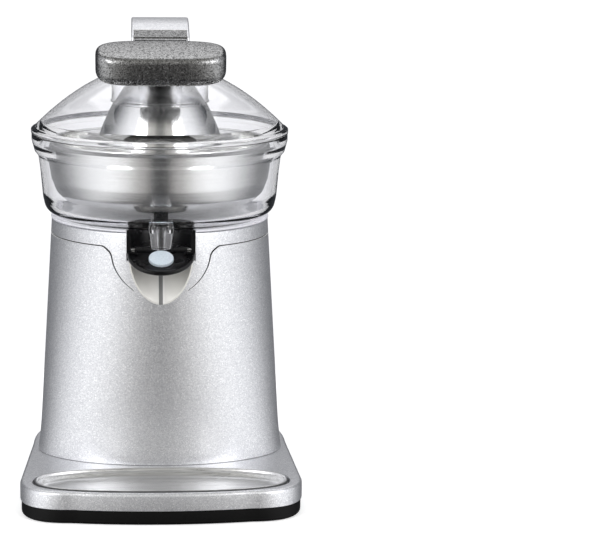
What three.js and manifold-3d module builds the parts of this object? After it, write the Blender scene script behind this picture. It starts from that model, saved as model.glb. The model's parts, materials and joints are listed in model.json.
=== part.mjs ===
// Citrus press juicer with a hinged press lever: silver housing, clear bowl and lid, steel strainer
// and press dome, drip stop, drip tray, motor and gear train.
// Millimetres, +Z up, front towards -Y. The machine's frame has the bowl's axis at x = y = 0 and
// z = 0 on the top face of the base; the last lines set the object down centred on its feet.
import * as THREE from "three";
import { mergeVertices } from "three/addons/utils/BufferGeometryUtils.js";
import Module from "manifold-3d";

// ---- driving dimensions ----
const GAP = 0.3;
const FEET_HEIGHT = 2;
const PAN_HEIGHT = 10;
const COVER_HEIGHT = 12;
const BASE_TOP = FEET_HEIGHT + PAN_HEIGHT + COVER_HEIGHT;
const BASE_FRONT_Y = -147;
const BASE_REAR_Y = 112;
const BASE_HALF_WIDTH = 103.4;
const BASE_REAR_HALF_WIDTH = 98;
const BASE_CORNER = 29;
const REAR_FULLNESS = 2.4;
const REAR_STEPS = 18;

const BODY_TOP = 178.6;
const BODY_TOP_RADIUS = 82.1;
const BODY_TAPER = 10;
const BODY_FRONT_DEPTH = 57;
const BODY_FLARE = 1.2;
const BODY_REAR_Y = 100;
const WALL = 2.2;
const PARTING_Z = 167;

const NOZZLE_Y = -88;
const NOZZLE_TOP_RADIUS = 10.2;
const NOZZLE_END_RADIUS = 8.5;
const NOZZLE_END_Z = 168.6;
const POCKET_Y = -80;
const POCKET_RADIUS = 25.7;
const POCKET_BOTTOM = 157.5;
const NICHE_RADIUS = 22.7;
const NICHE_TIP_Z = 126;
const NICHE_SLANT = 0.666;

const TONGUE_PIVOT = { y: -72.2, z: 165 };
const TONGUE_RADIUS = 25;
const TONGUE_STRAIGHT = 6.8;
const TONGUE_OPEN = 25;
const PAD_RADIUS = 9.5;

const OVAL_STEPS = 32;
const TRAY = { y: -109, halfWidth: 93.5, halfDepth: 34, depth: 6 };

const BOWL_BOTTOM = 180.6;
const BOWL_RIM_Z = 242.8;
const LID_TOP = 295.2;
const LID_CURVE = 0.005275;
const LID_WALL = 2.4;
const DOME_TOP = 291;
const DOME_CURVE = 0.002979;
const DOME_POWER = 2.54;
const DOME_RADIUS = 50;
const DOME_WALL = 1.5;

const HINGE = { y: 114, z: 262 };
const HINGE_PIN_RADIUS = 4;
const EAR_RADIUS = 12;
const COLUMN_REAR_Y = HINGE.y + EAR_RADIUS;
const ARM_HALF_WIDTH = 21.5;
const ARM_SKIN = 2.5;
const GRIP = { y: -62, z: 300.8, width: 95.5, depth: 40, thickness: 24, tilt: 18 };

const TEETH = { gear: 30, pinion: 10 };
const OUTPUT_MODULE = 1.5;
const MOTOR_MODULE = 1.2;
const IDLER_Y = ((TEETH.gear + TEETH.pinion) / 2) * OUTPUT_MODULE;
const MOTOR_Y = IDLER_Y + ((TEETH.gear + TEETH.pinion) / 2) * MOTOR_MODULE;
const SHAFT_RADIUS = 5;
const RUNNING_FIT = 0.12;

// ---- materials ----
const finish = (color, roughness, metalness, opacity = 1) =>
  new THREE.MeshStandardMaterial({ color, roughness, metalness, opacity, transparent: opacity < 1 });
const silverPaint = finish(0xc9cacd, 0.4, 0.6);
const blackPlastic = finish(0x17171a, 0.5, 0);
const softTouch = finish(0x3a3a3c, 0.75, 0);
const clearPlastic = finish(0xeef1f4, 0.08, 0, 0.3);
const brushedSteel = finish(0xb9bab8, 0.3, 1);
const polishedSteel = finish(0xd2d2d2, 0.12, 1);
const greySilicone = finish(0xb4bcc4, 0.6, 0);
const rubber = finish(0x202020, 0.9, 0);
const whitePlastic = finish(0xe6e6e0, 0.5, 0);
const brass = finish(0xb99a55, 0.35, 1);
const copper = finish(0x8a4b2a, 0.45, 0.8);
const boardGreen = finish(0x1f5b3a, 0.6, 0);

// ---- geometry helpers ----
const wasm = await Module();
wasm.setup();

// The closed solid of a geometry, with its faces pointing out.
function solidOf(geometry) {
  const bare = new THREE.BufferGeometry();
  bare.setAttribute("position", geometry.getAttribute("position").clone());
  bare.setIndex(geometry.index);
  const merged = mergeVertices(bare, 1e-4);
  const index = merged.index.array;
  const whole = [];
  for (let i = 0; i < index.length; i += 3) {
    const [a, b, c] = [index[i], index[i + 1], index[i + 2]];
    if (a !== b && b !== c && a !== c) whole.push(a, b, c);
  }
  const build = (triVerts) =>
    new wasm.Manifold(
      new wasm.Mesh({
        numProp: 3,
        vertProperties: new Float32Array(merged.attributes.position.array),
        triVerts: new Uint32Array(triVerts),
      }),
    );
  const solid = build(whole);
  if (solid.volume() > 0) return solid;
  for (let i = 0; i < whole.length; i += 3) {
    [whole[i + 1], whole[i + 2]] = [whole[i + 2], whole[i + 1]];
  }
  return build(whole);
}

function geometryOf(solid) {
  const mesh = solid.getMesh();
  const stride = mesh.numProp;
  const positions = new Float32Array(mesh.numVert * 3);
  for (let i = 0; i < mesh.numVert; i++) {
    positions.set(mesh.vertProperties.subarray(i * stride, i * stride + 3), i * 3);
  }
  const geometry = new THREE.BufferGeometry();
  geometry.setAttribute("position", new THREE.BufferAttribute(positions, 3));
  geometry.setIndex(new THREE.BufferAttribute(mesh.triVerts, 1));
  geometry.computeVertexNormals();
  return geometry;
}

const cut = (body, ...tools) =>
  geometryOf(tools.reduce((solid, tool) => solid.subtract(solidOf(tool)), solidOf(body)));
const join = (...bodies) =>
  geometryOf(bodies.slice(1).reduce((solid, body) => solid.add(solidOf(body)), solidOf(bodies[0])));
const common = (...bodies) =>
  geometryOf(bodies.slice(1).reduce((solid, body) => solid.intersect(solidOf(body)), solidOf(bodies[0])));

// A closed [radius, z] profile turned about Z.
function turned(profile, segments = 24) {
  const points = [...profile, profile[0]].map(([r, z]) => new THREE.Vector2(r, z));
  return new THREE.LatheGeometry(points, segments).rotateX(Math.PI / 2);
}

function disc(radius, low, high, x = 0, y = 0, segments = 16) {
  return new THREE.CylinderGeometry(radius, radius, high - low, segments)
    .rotateX(Math.PI / 2)
    .translate(x, y, (low + high) / 2);
}

function ring(inner, outer, low, high, segments = 16) {
  return turned([[inner, low], [outer, low], [outer, high], [inner, high]], segments);
}

function block(x0, x1, y0, y1, z0, z1) {
  return new THREE.BoxGeometry(x1 - x0, y1 - y0, z1 - z0)
    .translate((x0 + x1) / 2, (y0 + y1) / 2, (z0 + z1) / 2);
}

// A rod along X.
function crossRod(radius, x0, x1, y, z, segments = 16) {
  return new THREE.CylinderGeometry(radius, radius, x1 - x0, segments)
    .rotateZ(Math.PI / 2)
    .translate((x0 + x1) / 2, y, z);
}

// A plan outline (x, y) raised from low to high.
function raised(shape, low, high, bevel) {
  const options = { depth: high - low, bevelEnabled: false, curveSegments: 4 };
  if (bevel) {
    options.bevelEnabled = true;
    options.bevelSize = bevel;
    options.bevelThickness = bevel;
    options.bevelOffset = -bevel;
    options.bevelSegments = 1;
    options.depth -= 2 * bevel;
  }
  return new THREE.ExtrudeGeometry(shape, options).translate(0, 0, low + (bevel ?? 0));
}

// A side outline, drawn as (y, z), spread from -halfWidth to halfWidth along X.
function sideways(shape, halfWidth, curveSegments = 8) {
  const options = { depth: 2 * halfWidth, bevelEnabled: false, curveSegments };
  const frame = new THREE.Matrix4().makeBasis(
    new THREE.Vector3(0, 1, 0),
    new THREE.Vector3(0, 0, 1),
    new THREE.Vector3(1, 0, 0),
  );
  return new THREE.ExtrudeGeometry(shape, options).applyMatrix4(frame).translate(-halfWidth, 0, 0);
}

// A front outline, drawn as (x, z), spread from y0 to y1.
function facing(shape, y0, y1) {
  const options = { depth: y1 - y0, bevelEnabled: false, curveSegments: 6 };
  return new THREE.ExtrudeGeometry(shape, options).rotateX(Math.PI / 2).translate(0, y1, 0);
}

// A closed skin through rings of points, one ring above the other.
function loft(rings) {
  const count = rings[0].length;
  const positions = rings.flat();
  const middle = (points) =>
    points.reduce((sum, p) => sum.map((v, i) => v + p[i] / points.length), [0, 0, 0]);
  positions.push(middle(rings[0]), middle(rings[rings.length - 1]));
  const low = positions.length - 2;
  const high = positions.length - 1;
  const lastRing = (rings.length - 1) * count;
  const index = [];
  for (let i = 0; i < count; i++) {
    const next = (i + 1) % count;
    index.push(low, next, i);
    index.push(high, lastRing + i, lastRing + next);
    for (let level = 0; level < rings.length - 1; level++) {
      const a = level * count + i;
      const b = level * count + next;
      index.push(a, b, b + count, a, b + count, a + count);
    }
  }
  const geometry = new THREE.BufferGeometry();
  geometry.setAttribute("position", new THREE.Float32BufferAttribute(positions.flat(), 3));
  geometry.setIndex(index);
  return geometry;
}

// ---- group and naming ----
const machine = new THREE.Group();
function add(name, geometry, material, parent = machine) {
  const mesh = new THREE.Mesh(geometryOf(solidOf(geometry)), material);
  mesh.name = name;
  parent.add(mesh);
  return mesh;
}

// ---- base ----
// Points of half an oval from +X over +Y to -X, fuller than an ellipse above a fullness of 2.
function halfOval(fullness, steps) {
  const power = (value) => Math.sign(value) * Math.abs(value) ** (2 / fullness);
  return Array.from({ length: steps - 1 }, (_, i) => {
    const angle = ((i + 1) / steps) * Math.PI;
    return [power(Math.cos(angle)), power(Math.sin(angle))];
  });
}

// Rounded front corners, sides that close in a little towards the back, and a half-oval rear.
function basePlan(inset) {
  const front = BASE_FRONT_Y + inset;
  const side = BASE_HALF_WIDTH - inset;
  const rearSide = BASE_REAR_HALF_WIDTH - inset;
  const rearStart = 10;
  const corner = BASE_CORNER - inset;
  const bow = 4;
  const shape = new THREE.Shape();
  shape.moveTo(0, front);
  shape.quadraticCurveTo((side - corner) / 2, front, side - corner, front + bow);
  shape.quadraticCurveTo(side, front + bow, side, front + bow + corner);
  shape.lineTo(rearSide, rearStart);
  for (const [across, back] of halfOval(REAR_FULLNESS, REAR_STEPS)) {
    shape.lineTo(rearSide * across, rearStart + (BASE_REAR_Y - inset - rearStart) * back);
  }
  shape.lineTo(-side, front + bow + corner);
  shape.quadraticCurveTo(-side, front + bow, -(side - corner), front + bow);
  shape.quadraticCurveTo(-(side - corner) / 2, front, 0, front);
  return shape;
}

// The drip tray's oval, fuller than an ellipse.
function ovalPlan(inset) {
  const fullness = 2.5;
  const steps = OVAL_STEPS;
  const points = Array.from({ length: steps }, (_, i) => {
    const angle = (i / steps) * 2 * Math.PI;
    const power = (value) => Math.sign(value) * Math.abs(value) ** (2 / fullness);
    return new THREE.Vector2(
      (TRAY.halfWidth - inset) * power(Math.cos(angle)),
      TRAY.y + (TRAY.halfDepth - inset) * power(Math.sin(angle)),
    );
  });
  return new THREE.Shape(points);
}

const FEET = [[-82, -118], [82, -118], [-66, 62], [66, 62]];
const SCREWS = [[-84, -70], [84, -70], [-40, 92], [40, 92]];

function addBase() {
  const coverLow = -COVER_HEIGHT;
  const panLow = coverLow - PAN_HEIGHT;
  const slab = raised(basePlan(0), coverLow, 0, 2);
  const hollow = raised(basePlan(3), coverLow - 1, coverLow + 3.4);
  const rearHollow = common(hollow.clone().translate(0, 0, 6), block(-90, 90, -68, 120, -30, 0));
  const recess = raised(ovalPlan(-GAP), -TRAY.depth - GAP, 5);
  const motorOpening = disc(34, -20, 5, 0, 40, 20);
  add("base_cover", cut(slab, hollow, rearHollow, recess, motorOpening), silverPaint);

  const panOuter = raised(basePlan(0.6), panLow, coverLow - GAP, 2);
  const panHollow = raised(basePlan(3.2), panLow + 2.4, coverLow + 5);
  const headHoles = SCREWS.map(([x, y]) => disc(4.2, panLow - 1, panLow + 5, x, y, 10));
  add("base_pan", cut(panOuter, panHollow, ...headHoles), blackPlastic);

  FEET.forEach(([x, y], i) => {
    const footTop = panLow - GAP;
    const profile = [[0, -BASE_TOP], [8, -BASE_TOP], [9, -BASE_TOP + 0.8], [9, footTop], [0, footTop]];
    add(`foot_${i + 1}`, turned(profile, 14).translate(x, y, 0), rubber);
  });
  SCREWS.forEach(([x, y], i) => {
    const head = disc(3.8, panLow + 0.3, panLow + 2.7, x, y, 10);
    const stem = disc(2, panLow + 2, coverLow + 3, x, y, 8);
    add(`base_screw_${i + 1}`, join(head, stem), brushedSteel);
  });
}

function addDripTray() {
  const floor = -TRAY.depth;
  const outer = raised(ovalPlan(0), floor, 0.9);
  const lip = raised(ovalPlan(1.6), 0.1, 2);
  const slope = 6;
  const dish = loftedOval(2.4, 2.4 + slope, 0.2, floor + 1);
  add("drip_tray", cut(outer, lip, dish), brushedSteel);
}

// An oval pocket that narrows from its mouth to its floor.
function loftedOval(mouthInset, floorInset, mouthZ, floorZ) {
  const ringAt = (inset, z) => ovalPlan(inset).getPoints().slice(0, OVAL_STEPS).map((p) => [p.x, p.y, z]);
  return loft([ringAt(floorInset, floorZ), ringAt(mouthInset, mouthZ), ringAt(mouthInset, 3)]);
}

// ---- housing ----
// One level of the housing: an oval whose front is shallower at the foot than at the top.
function housingRing(z, inset) {
  const steps = 36;
  const rise = Math.max(0, z) / BODY_TOP;
  const flare = BODY_FLARE * Math.max(0, 1 - Math.max(0, z) / 14) ** 2;
  const half = BODY_TOP_RADIUS + BODY_TAPER * (1 - rise) + flare - inset;
  const centre = -10 * (1 - rise);
  const front = BODY_FRONT_DEPTH + (BODY_TOP_RADIUS - BODY_FRONT_DEPTH) * rise + flare - inset;
  const rear = BODY_REAR_Y - centre + flare - inset;
  return Array.from({ length: steps }, (_, i) => {
    const angle = (i / steps) * 2 * Math.PI;
    const depth = Math.sin(angle) < 0 ? front : rear;
    return [half * Math.cos(angle), centre + depth * Math.sin(angle), z];
  });
}

function housingSolid(inset, low, high, crown = 0) {
  const levels = [low, 9, 90, high - crown].filter((z) => z >= low && z < high);
  const rings = levels.map((z) => housingRing(z, inset));
  rings.push(crown ? housingRing(high, inset + crown) : housingRing(high, inset));
  return loft(rings);
}

// What belongs to the upper housing: the collar, and the bib that runs down round the niche.
function upperRegion(clearance) {
  const bib = new THREE.Shape();
  const drop = PARTING_Z + clearance;
  bib.moveTo(-44 + clearance, drop);
  bib.quadraticCurveTo(-38.4 + clearance, drop, -37 + clearance, drop - 6);
  bib.quadraticCurveTo(-34 + clearance, 146, -20.9 + clearance, 135.4 + clearance);
  bib.lineTo(20.9 - clearance, 135.4 + clearance);
  bib.quadraticCurveTo(34 - clearance, 146, 37 - clearance, drop - 6);
  bib.quadraticCurveTo(38.4 - clearance, drop, 44 - clearance, drop);
  bib.lineTo(44 - clearance, 190);
  bib.lineTo(-44 + clearance, 190);
  const collar = block(-120, 120, -120, 130, drop, 190);
  return join(collar, facing(bib, -120, -50));
}

// Circles stepping forwards as they go down: the half-round recess behind and under the nozzle.
function nicheColumn(radius, topZ) {
  const circleAt = (z) => {
    const steps = 28;
    const y = POCKET_Y - (POCKET_BOTTOM - z) * NICHE_SLANT;
    return Array.from({ length: steps }, (_, i) => {
      const angle = (i / steps) * 2 * Math.PI;
      return [radius * Math.cos(angle), y + radius * Math.sin(angle), z];
    });
  };
  return loft([circleAt(NICHE_TIP_Z - 12), circleAt(topZ)]);
}

function addHousing() {
  const outer = housingSolid(0, GAP, BODY_TOP, 1.2);
  const inner = housingSolid(WALL, -2, BODY_TOP - 2.8);
  const pocket = join(
    disc(POCKET_RADIUS, POCKET_BOTTOM, 200, 0, POCKET_Y, 28),
    block(-POCKET_RADIUS, POCKET_RADIUS, -110, POCKET_Y, POCKET_BOTTOM, 200),
  );
  const niche = nicheColumn(NICHE_RADIUS + 1.5, POCKET_BOTTOM + 1);
  const shell = cut(outer, inner, pocket, niche);
  const glandHole = new THREE.CylinderGeometry(6, 6, 30, 20).translate(0, 100, 20);
  add("lower_housing", cut(shell, upperRegion(0), glandHole), silverPaint);

  const sealHole = disc(10, 150, 200);
  const sealBoss = ring(10, 13, 168, BODY_TOP - 2);
  const upper = common(shell, upperRegion(GAP));
  add("upper_housing", cut(join(upper, sealBoss), sealHole), silverPaint);

  const liner = cut(
    nicheColumn(NICHE_RADIUS + 1.2, POCKET_BOTTOM - GAP),
    nicheColumn(NICHE_RADIUS, POCKET_BOTTOM + 5),
  );
  add("niche_liner", common(liner, housingSolid(-0.4, GAP, BODY_TOP)), brushedSteel);

  const seat = cut(ring(76.6, 82.8, BODY_TOP + GAP, BOWL_BOTTOM - GAP, 32), pocket);
  add("bowl_seat_ring", seat, greySilicone);

  const gland = turned([[3.6, -10], [5.6, -10], [5.6, 4.4], [9, 4.4], [7.6, 9], [3.6, 9]], 20);
  add("cord_gland", gland.rotateX(-Math.PI / 2).translate(0, 97.5, 20), rubber);
}

// ---- hinge column ----
function addHingeColumn() {
  const side = new THREE.Shape();
  side.moveTo(96.4, 179);
  side.lineTo(96.4, 220);
  side.quadraticCurveTo(102, 226, 102, 232);
  side.lineTo(HINGE.y - EAR_RADIUS, HINGE.z);
  side.absarc(HINGE.y, HINGE.z, EAR_RADIUS, Math.PI, 0, true);
  side.quadraticCurveTo(COLUMN_REAR_Y, 236, 122, 205);
  side.quadraticCurveTo(115, 150, 98, 44);
  side.lineTo(90, 44);
  side.lineTo(90, 179);
  const blank = sideways(side, 22);
  const housing = housingSolid(-GAP, 0, BODY_TOP + 0.4);
  const slot = block(-12, 12, 90, COLUMN_REAR_Y + 5, HINGE.z - 13, 290);
  const pinHole = crossRod(HINGE_PIN_RADIUS + RUNNING_FIT, -30, 30, HINGE.y, HINGE.z);
  const pocket = block(-19, 19, 80, 108, 60, 172);
  const behind = sideways(side, 30).translate(0, -3, 0);
  add("hinge_column", cut(blank, housing, slot, pinHole, common(pocket, behind)), silverPaint);
  const heads = [-1, 1].map((s) =>
    crossRod(7, Math.min(s * 22.3, s * 24.3), Math.max(s * 22.3, s * 24.3), HINGE.y, HINGE.z),
  );
  const pin = crossRod(HINGE_PIN_RADIUS, -23, 23, HINGE.y, HINGE.z);
  add("hinge_pin", join(pin, ...heads), polishedSteel);
}

// ---- bowl, strainer and reamer ----
function addBowl() {
  const profile = [
    [10, BOWL_BOTTOM], [76.6, BOWL_BOTTOM], [82.8, 182.3], [87.2, 189], [88.7, 195],
    [92.3, 228], [96, 234], [96.9, BOWL_RIM_Z], [93.9, BOWL_RIM_Z], [93.1, 236], [89.6, 228],
    [86, 197], [81.7, 186.5], [75.5, 184.2], [13, 183.4], [13, 206], [10, 206],
  ];
  const duct = block(-10, 10, NOZZLE_Y - 9.6, -78, BOWL_BOTTOM + 0.4, 192);
  const tab = common(
    disc(24.9, 178, BOWL_BOTTOM + 1.6, 0, POCKET_Y, 28),
    block(-30, 30, NOZZLE_Y, -70, 170, 190),
  );
  const nozzle = turned([
    [0, NOZZLE_END_Z], [NOZZLE_END_RADIUS - 1.4, NOZZLE_END_Z],
    [NOZZLE_END_RADIUS, NOZZLE_END_Z + 1.6], [NOZZLE_TOP_RADIUS, 184], [0, 184],
  ], 20).translate(0, NOZZLE_Y, 0);
  const ductHollow = block(-7.4, 7.4, NOZZLE_Y - 7.4, -70, 184.4, 189.6);
  const bore = disc(6.4, 160, 186, 0, NOZZLE_Y, 20);
  const bowl = cut(join(turned(profile, 32), duct, tab, nozzle), ductHollow, bore);
  add("juice_bowl", bowl, clearPlastic);
}

function addStrainer() {
  const profile = [
    [17.2, 187.5], [59, 187.5], [69.6, 191], [78.4, 199], [82, 208], [85.7, 236],
    [87.8, 237.2], [87.8, 238.4], [84.5, 238.2], [80.8, 208.3], [77.3, 199.9], [69, 192.3],
    [59, 188.8], [17.2, 188.8],
  ];
  const slotCount = 10;
  const slots = Array.from({ length: slotCount }, (_, i) =>
    block(30, 56, -1.5, 1.5, 180, 192).rotateZ((i / slotCount) * 2 * Math.PI),
  );
  add("strainer", cut(turned(profile, 32), ...slots), brushedSteel);
}

function addReamerDrive() {
  const ribs = 8;
  const steps = 32;
  const level = (z, radius, depth) =>
    Array.from({ length: steps }, (_, i) => {
      const angle = (i / steps) * 2 * Math.PI;
      const r = radius * (1 + depth * Math.cos(ribs * angle));
      return [r * Math.cos(angle), r * Math.sin(angle), z];
    });
  const cone = loft([
    level(210, 28, 0.04), level(224, 26, 0.12), level(242, 21.5, 0.13), level(258, 13.5, 0.13),
    level(272, 2.5, 0),
  ]);
  const skirt = turned([[0, 206.8], [30.5, 206.8], [30.5, 208.4], [28, 211], [0, 211]], 24);
  const sleeve = ring(13.6, 16.4, 190.5, 207.5, 20);
  const socket = disc(SHAFT_RADIUS + 0.25, 180, 240, 0, 0, 6);
  add("reamer", cut(join(cone, skirt, sleeve), socket), blackPlastic);

  const journal = disc(SHAFT_RADIUS, 119, 206.3);
  const drive = disc(SHAFT_RADIUS, 206, 239, 0, 0, 6);
  add("output_shaft", join(journal, drive), polishedSteel);
  const outputGear = gear(TEETH.gear, OUTPUT_MODULE, 146, 154, SHAFT_RADIUS + RUNNING_FIT, Math.PI / 2);
  add("output_gear", outputGear, whitePlastic);
  add("shaft_clip", ring(SHAFT_RADIUS + RUNNING_FIT, 8.4, 142.6, 144.4), brushedSteel);
}

// ---- gear train ----
// Straight spur gear with 25 degree involute flanks and a little backlash.
function gear(teeth, module, low, high, bore, turn) {
  const pressure = THREE.MathUtils.degToRad(25);
  const pitch = (teeth * module) / 2;
  const base = pitch * Math.cos(pressure);
  const tip = pitch + 0.85 * module;
  const root = pitch - 1.1 * module;
  const backlash = 0.09;
  const involute = (r) => {
    const pressureAtR = Math.acos(Math.min(1, base / r));
    return Math.tan(pressureAtR) - pressureAtR;
  };
  const halfTooth = Math.PI / (2 * teeth) - backlash / (2 * pitch);
  const halfAt = (r) => halfTooth + involute(pitch) - involute(Math.max(r, base));
  const flank = [root, tip];
  const points = [];
  for (let i = 0; i < teeth; i++) {
    const middle = (i / teeth) * 2 * Math.PI + turn;
    const rising = flank.map((r) => [r, middle - halfAt(r)]);
    const falling = [...flank].reverse().map((r) => [r, middle + halfAt(r)]);
    for (const [r, angle] of [...rising, ...falling]) {
      points.push(new THREE.Vector2(r * Math.cos(angle), r * Math.sin(angle)));
    }
  }
  return cut(raised(new THREE.Shape(points), low, high), disc(bore, low - 1, high + 1));
}

function addIdler() {
  const axleRadius = 3;
  const toothTurn = Math.PI / TEETH.pinion;
  const bore = axleRadius + RUNNING_FIT;
  const pinion = gear(TEETH.pinion, OUTPUT_MODULE, 141.5, 156, bore, -Math.PI / 2 + toothTurn);
  add("idler_pinion", pinion.translate(0, IDLER_Y, 0), brushedSteel);
  const wheel = gear(TEETH.gear, MOTOR_MODULE, 134, 141, bore, Math.PI / 2);
  add("idler_gear", wheel.translate(0, IDLER_Y, 0), whitePlastic);
  add("idler_axle", disc(axleRadius, 127.2, 162.5, 0, IDLER_Y), polishedSteel);
}

function addMotor() {
  const shaftRadius = 2.5;
  const toothTurn = Math.PI / TEETH.pinion;
  const bore = shaftRadius + RUNNING_FIT;
  const pinion = gear(TEETH.pinion, MOTOR_MODULE, 132.5, 142, bore, -Math.PI / 2 + toothTurn);
  add("motor_pinion", pinion.translate(0, MOTOR_Y, 0), brass);
  const rotor = join(disc(shaftRadius, 44, 143, 0, MOTOR_Y), disc(13, 72, 108, 0, MOTOR_Y));
  add("motor_rotor", rotor, brushedSteel);
  const bladeCount = 8;
  const blades = Array.from({ length: bladeCount }, (_, i) =>
    block(6, 22, -0.8, 0.8, 47.5, 56).rotateZ((i / bladeCount) * 2 * Math.PI),
  );
  const wheel = join(disc(22, 46, 48), disc(7, 46, 56), ...blades);
  const fan = cut(wheel, disc(bore, 40, 60));
  add("motor_fan", fan.translate(0, MOTOR_Y, 0), whitePlastic);
  const stator = ring(15, 27.9, 72, 108, 24).translate(0, MOTOR_Y, 0);
  add("motor_stator", stator, brushedSteel);
  add("motor_winding", ring(15.4, 23, 108 + GAP, 116, 20).translate(0, MOTOR_Y, 0), copper);
  const canFloor = ring(4, 30.6, 60, 62.4, 24);
  const canWall = ring(28.3, 30.6, 60, 118, 24);
  const vents = [0, 1].map((i) => block(-40, 40, -3, 3, 66, 70).rotateZ((i * Math.PI) / 2));
  add("motor_can", cut(join(canFloor, canWall), ...vents).translate(0, MOTOR_Y, 0), brushedSteel);
  add("motor_end_cap", ring(3, 30.6, 118 + GAP, 121, 24).translate(0, MOTOR_Y, 0), brushedSteel);
}

// The gearbox plan: a round-ended plate over the output shaft and the motor.
function gearboxPlan(radius) {
  const shape = new THREE.Shape();
  shape.absarc(0, MOTOR_Y, radius, 0, Math.PI, false);
  shape.absarc(0, 0, radius, Math.PI, 2 * Math.PI, false);
  return shape;
}

function addGearbox() {
  const trayLow = 124.5;
  const coverLow = 158;
  const outer = raised(gearboxPlan(33), trayLow, coverLow - GAP);
  const inner = raised(gearboxPlan(31), trayLow + 2.6, 200);
  const bearingHole = disc(8.3, 100, 140);
  const axleHole = disc(3.1, 100, 140, 0, IDLER_Y);
  const motorHole = disc(4, 100, 140, 0, MOTOR_Y);
  add("gearbox_tray", cut(outer, inner, bearingHole, axleHole, motorHole), blackPlastic);
  const plate = raised(gearboxPlan(33), coverLow, coverLow + 2.6);
  const boss = disc(11, coverLow, 166);
  const coverHoles = [disc(8.3, 150, 180), disc(3.1, 150, 180, 0, IDLER_Y)];
  add("gearbox_cover", cut(join(plate, boss), ...coverHoles), blackPlastic);
  add("lower_bearing", ring(SHAFT_RADIUS + 0.1, 8.1, 124.5, 131), brass);
  add("upper_bearing", ring(SHAFT_RADIUS + 0.1, 8.1, 158, 165.5), brass);
  add("shaft_seal", ring(SHAFT_RADIUS + 0.3, 9.7, 172, 179), rubber);
}

function addElectrics() {
  const plungerBore = disc(1.8, 104.5, 120, 0, 0, 12);
  add("microswitch", cut(block(-10, 10, -4, 4, 100, 110), plungerBore), blackPlastic);
  add("switch_plunger", disc(1.6, 106.5, 117, 0, 0, 12), whitePlastic);
  const shelf = block(-12, 12, -6, 6, 97.4, 99.6);
  const leftStrap = block(-12, -10.4, -6, 6, 98, 124.1);
  const rightStrap = block(10.4, 12, -6, 6, 98, 124.1);
  add("switch_bracket", join(shelf, leftStrap, rightStrap), brushedSteel);
  const board = block(-58, -56.4, 0, 52, 60, 104);
  const relay = block(-56.8, -44, 8, 26, 66, 80);
  const capacitor = block(-56.8, -48, 32, 46, 70, 94);
  add("control_board", join(board, relay, capacitor), boardGreen);
}

// ---- lever ----
// Side outline of the arm, from the grip's back over the crest to the hinge.
function armSide() {
  const side = new THREE.Shape();
  side.moveTo(-41.2, 303.5);
  side.lineTo(-41.2, 318.9);
  side.lineTo(-14, 326.2);
  side.quadraticCurveTo(2, 330, 22, 328.2);
  side.quadraticCurveTo(78, 322, 101, 283);
  side.lineTo(92, 266);
  side.quadraticCurveTo(66, 309, 22, 315);
  side.lineTo(-14, 312);
  side.lineTo(-41.2, 303.5);
  return side;
}

function addArm() {
  const side = (halfWidth, lift) => sideways(armSide(), halfWidth).translate(0, 0, lift);
  const inlayHalf = ARM_HALF_WIDTH - 1.9;
  const inlayBlock = (half, y0, y1) => block(-half, half, y0, y1, 250, 350);
  const stemHole = disc(8, 300, 320);
  const recess = cut(
    common(side(40, 2), inlayBlock(inlayHalf, -60, -27)),
    side(40, -1.6),
  );
  const shell = cut(side(ARM_HALF_WIDTH, 0), side(ARM_HALF_WIDTH - ARM_SKIN, -ARM_SKIN), recess);
  add("arm_shell", shell, silverPaint);
  const inlay = cut(
    common(side(40, -0.2), inlayBlock(inlayHalf - GAP, -42.2, -27 - GAP)),
    side(40, -1.6 + GAP),
  );
  add("arm_inlay", inlay, softTouch);
  const underside = cut(side(ARM_HALF_WIDTH - ARM_SKIN - GAP, 0), side(40, 1.6), stemHole);
  add("arm_underside", common(underside, block(-30, 30, -60, 90, 200, 400)), blackPlastic);

  // The steel bar inside, from the hinge knuckle into the grip.
  const path = new THREE.SplineCurve([
    new THREE.Vector2(HINGE.y, HINGE.z), new THREE.Vector2(96, 278), new THREE.Vector2(72, 301.5),
    new THREE.Vector2(44, 315), new THREE.Vector2(12, 322), new THREE.Vector2(-14, 320),
    new THREE.Vector2(-42, 311), new THREE.Vector2(-72, 300.2),
  ]);
  const samples = path.getSpacedPoints(18);
  const offset = (distance) =>
    samples.map((point, i) => {
      const tangent = path.getTangentAt(i / (samples.length - 1));
      return new THREE.Vector2(point.x - tangent.y * distance, point.y + tangent.x * distance);
    });
  const outline = new THREE.Shape([...offset(2), ...offset(-2).reverse()]);
  const knuckle = crossRod(9, -11, 11, HINGE.y, HINGE.z, 24);
  const pinHole = crossRod(HINGE_PIN_RADIUS + RUNNING_FIT, -30, 30, HINGE.y, HINGE.z);
  add("arm_bar", cut(join(sideways(outline, 11), knuckle), pinHole), brushedSteel);
}

// The grip's plan: a bar with wide chamfered corners.
function gripPlan() {
  const halfWidth = GRIP.width / 2;
  const halfDepth = GRIP.depth / 2;
  const flat = halfWidth - 16;
  const end = halfDepth - 10;
  const shape = new THREE.Shape();
  shape.moveTo(-flat, -halfDepth);
  shape.lineTo(flat, -halfDepth);
  shape.quadraticCurveTo(halfWidth - 2, -halfDepth + 3, halfWidth, -end);
  shape.lineTo(halfWidth, end);
  shape.quadraticCurveTo(halfWidth - 2, halfDepth - 3, flat, halfDepth);
  shape.lineTo(-flat, halfDepth);
  shape.quadraticCurveTo(-(halfWidth - 2), halfDepth - 3, -halfWidth, end);
  shape.lineTo(-halfWidth, -end);
  shape.quadraticCurveTo(-(halfWidth - 2), -halfDepth + 3, -flat, -halfDepth);
  return shape;
}

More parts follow.
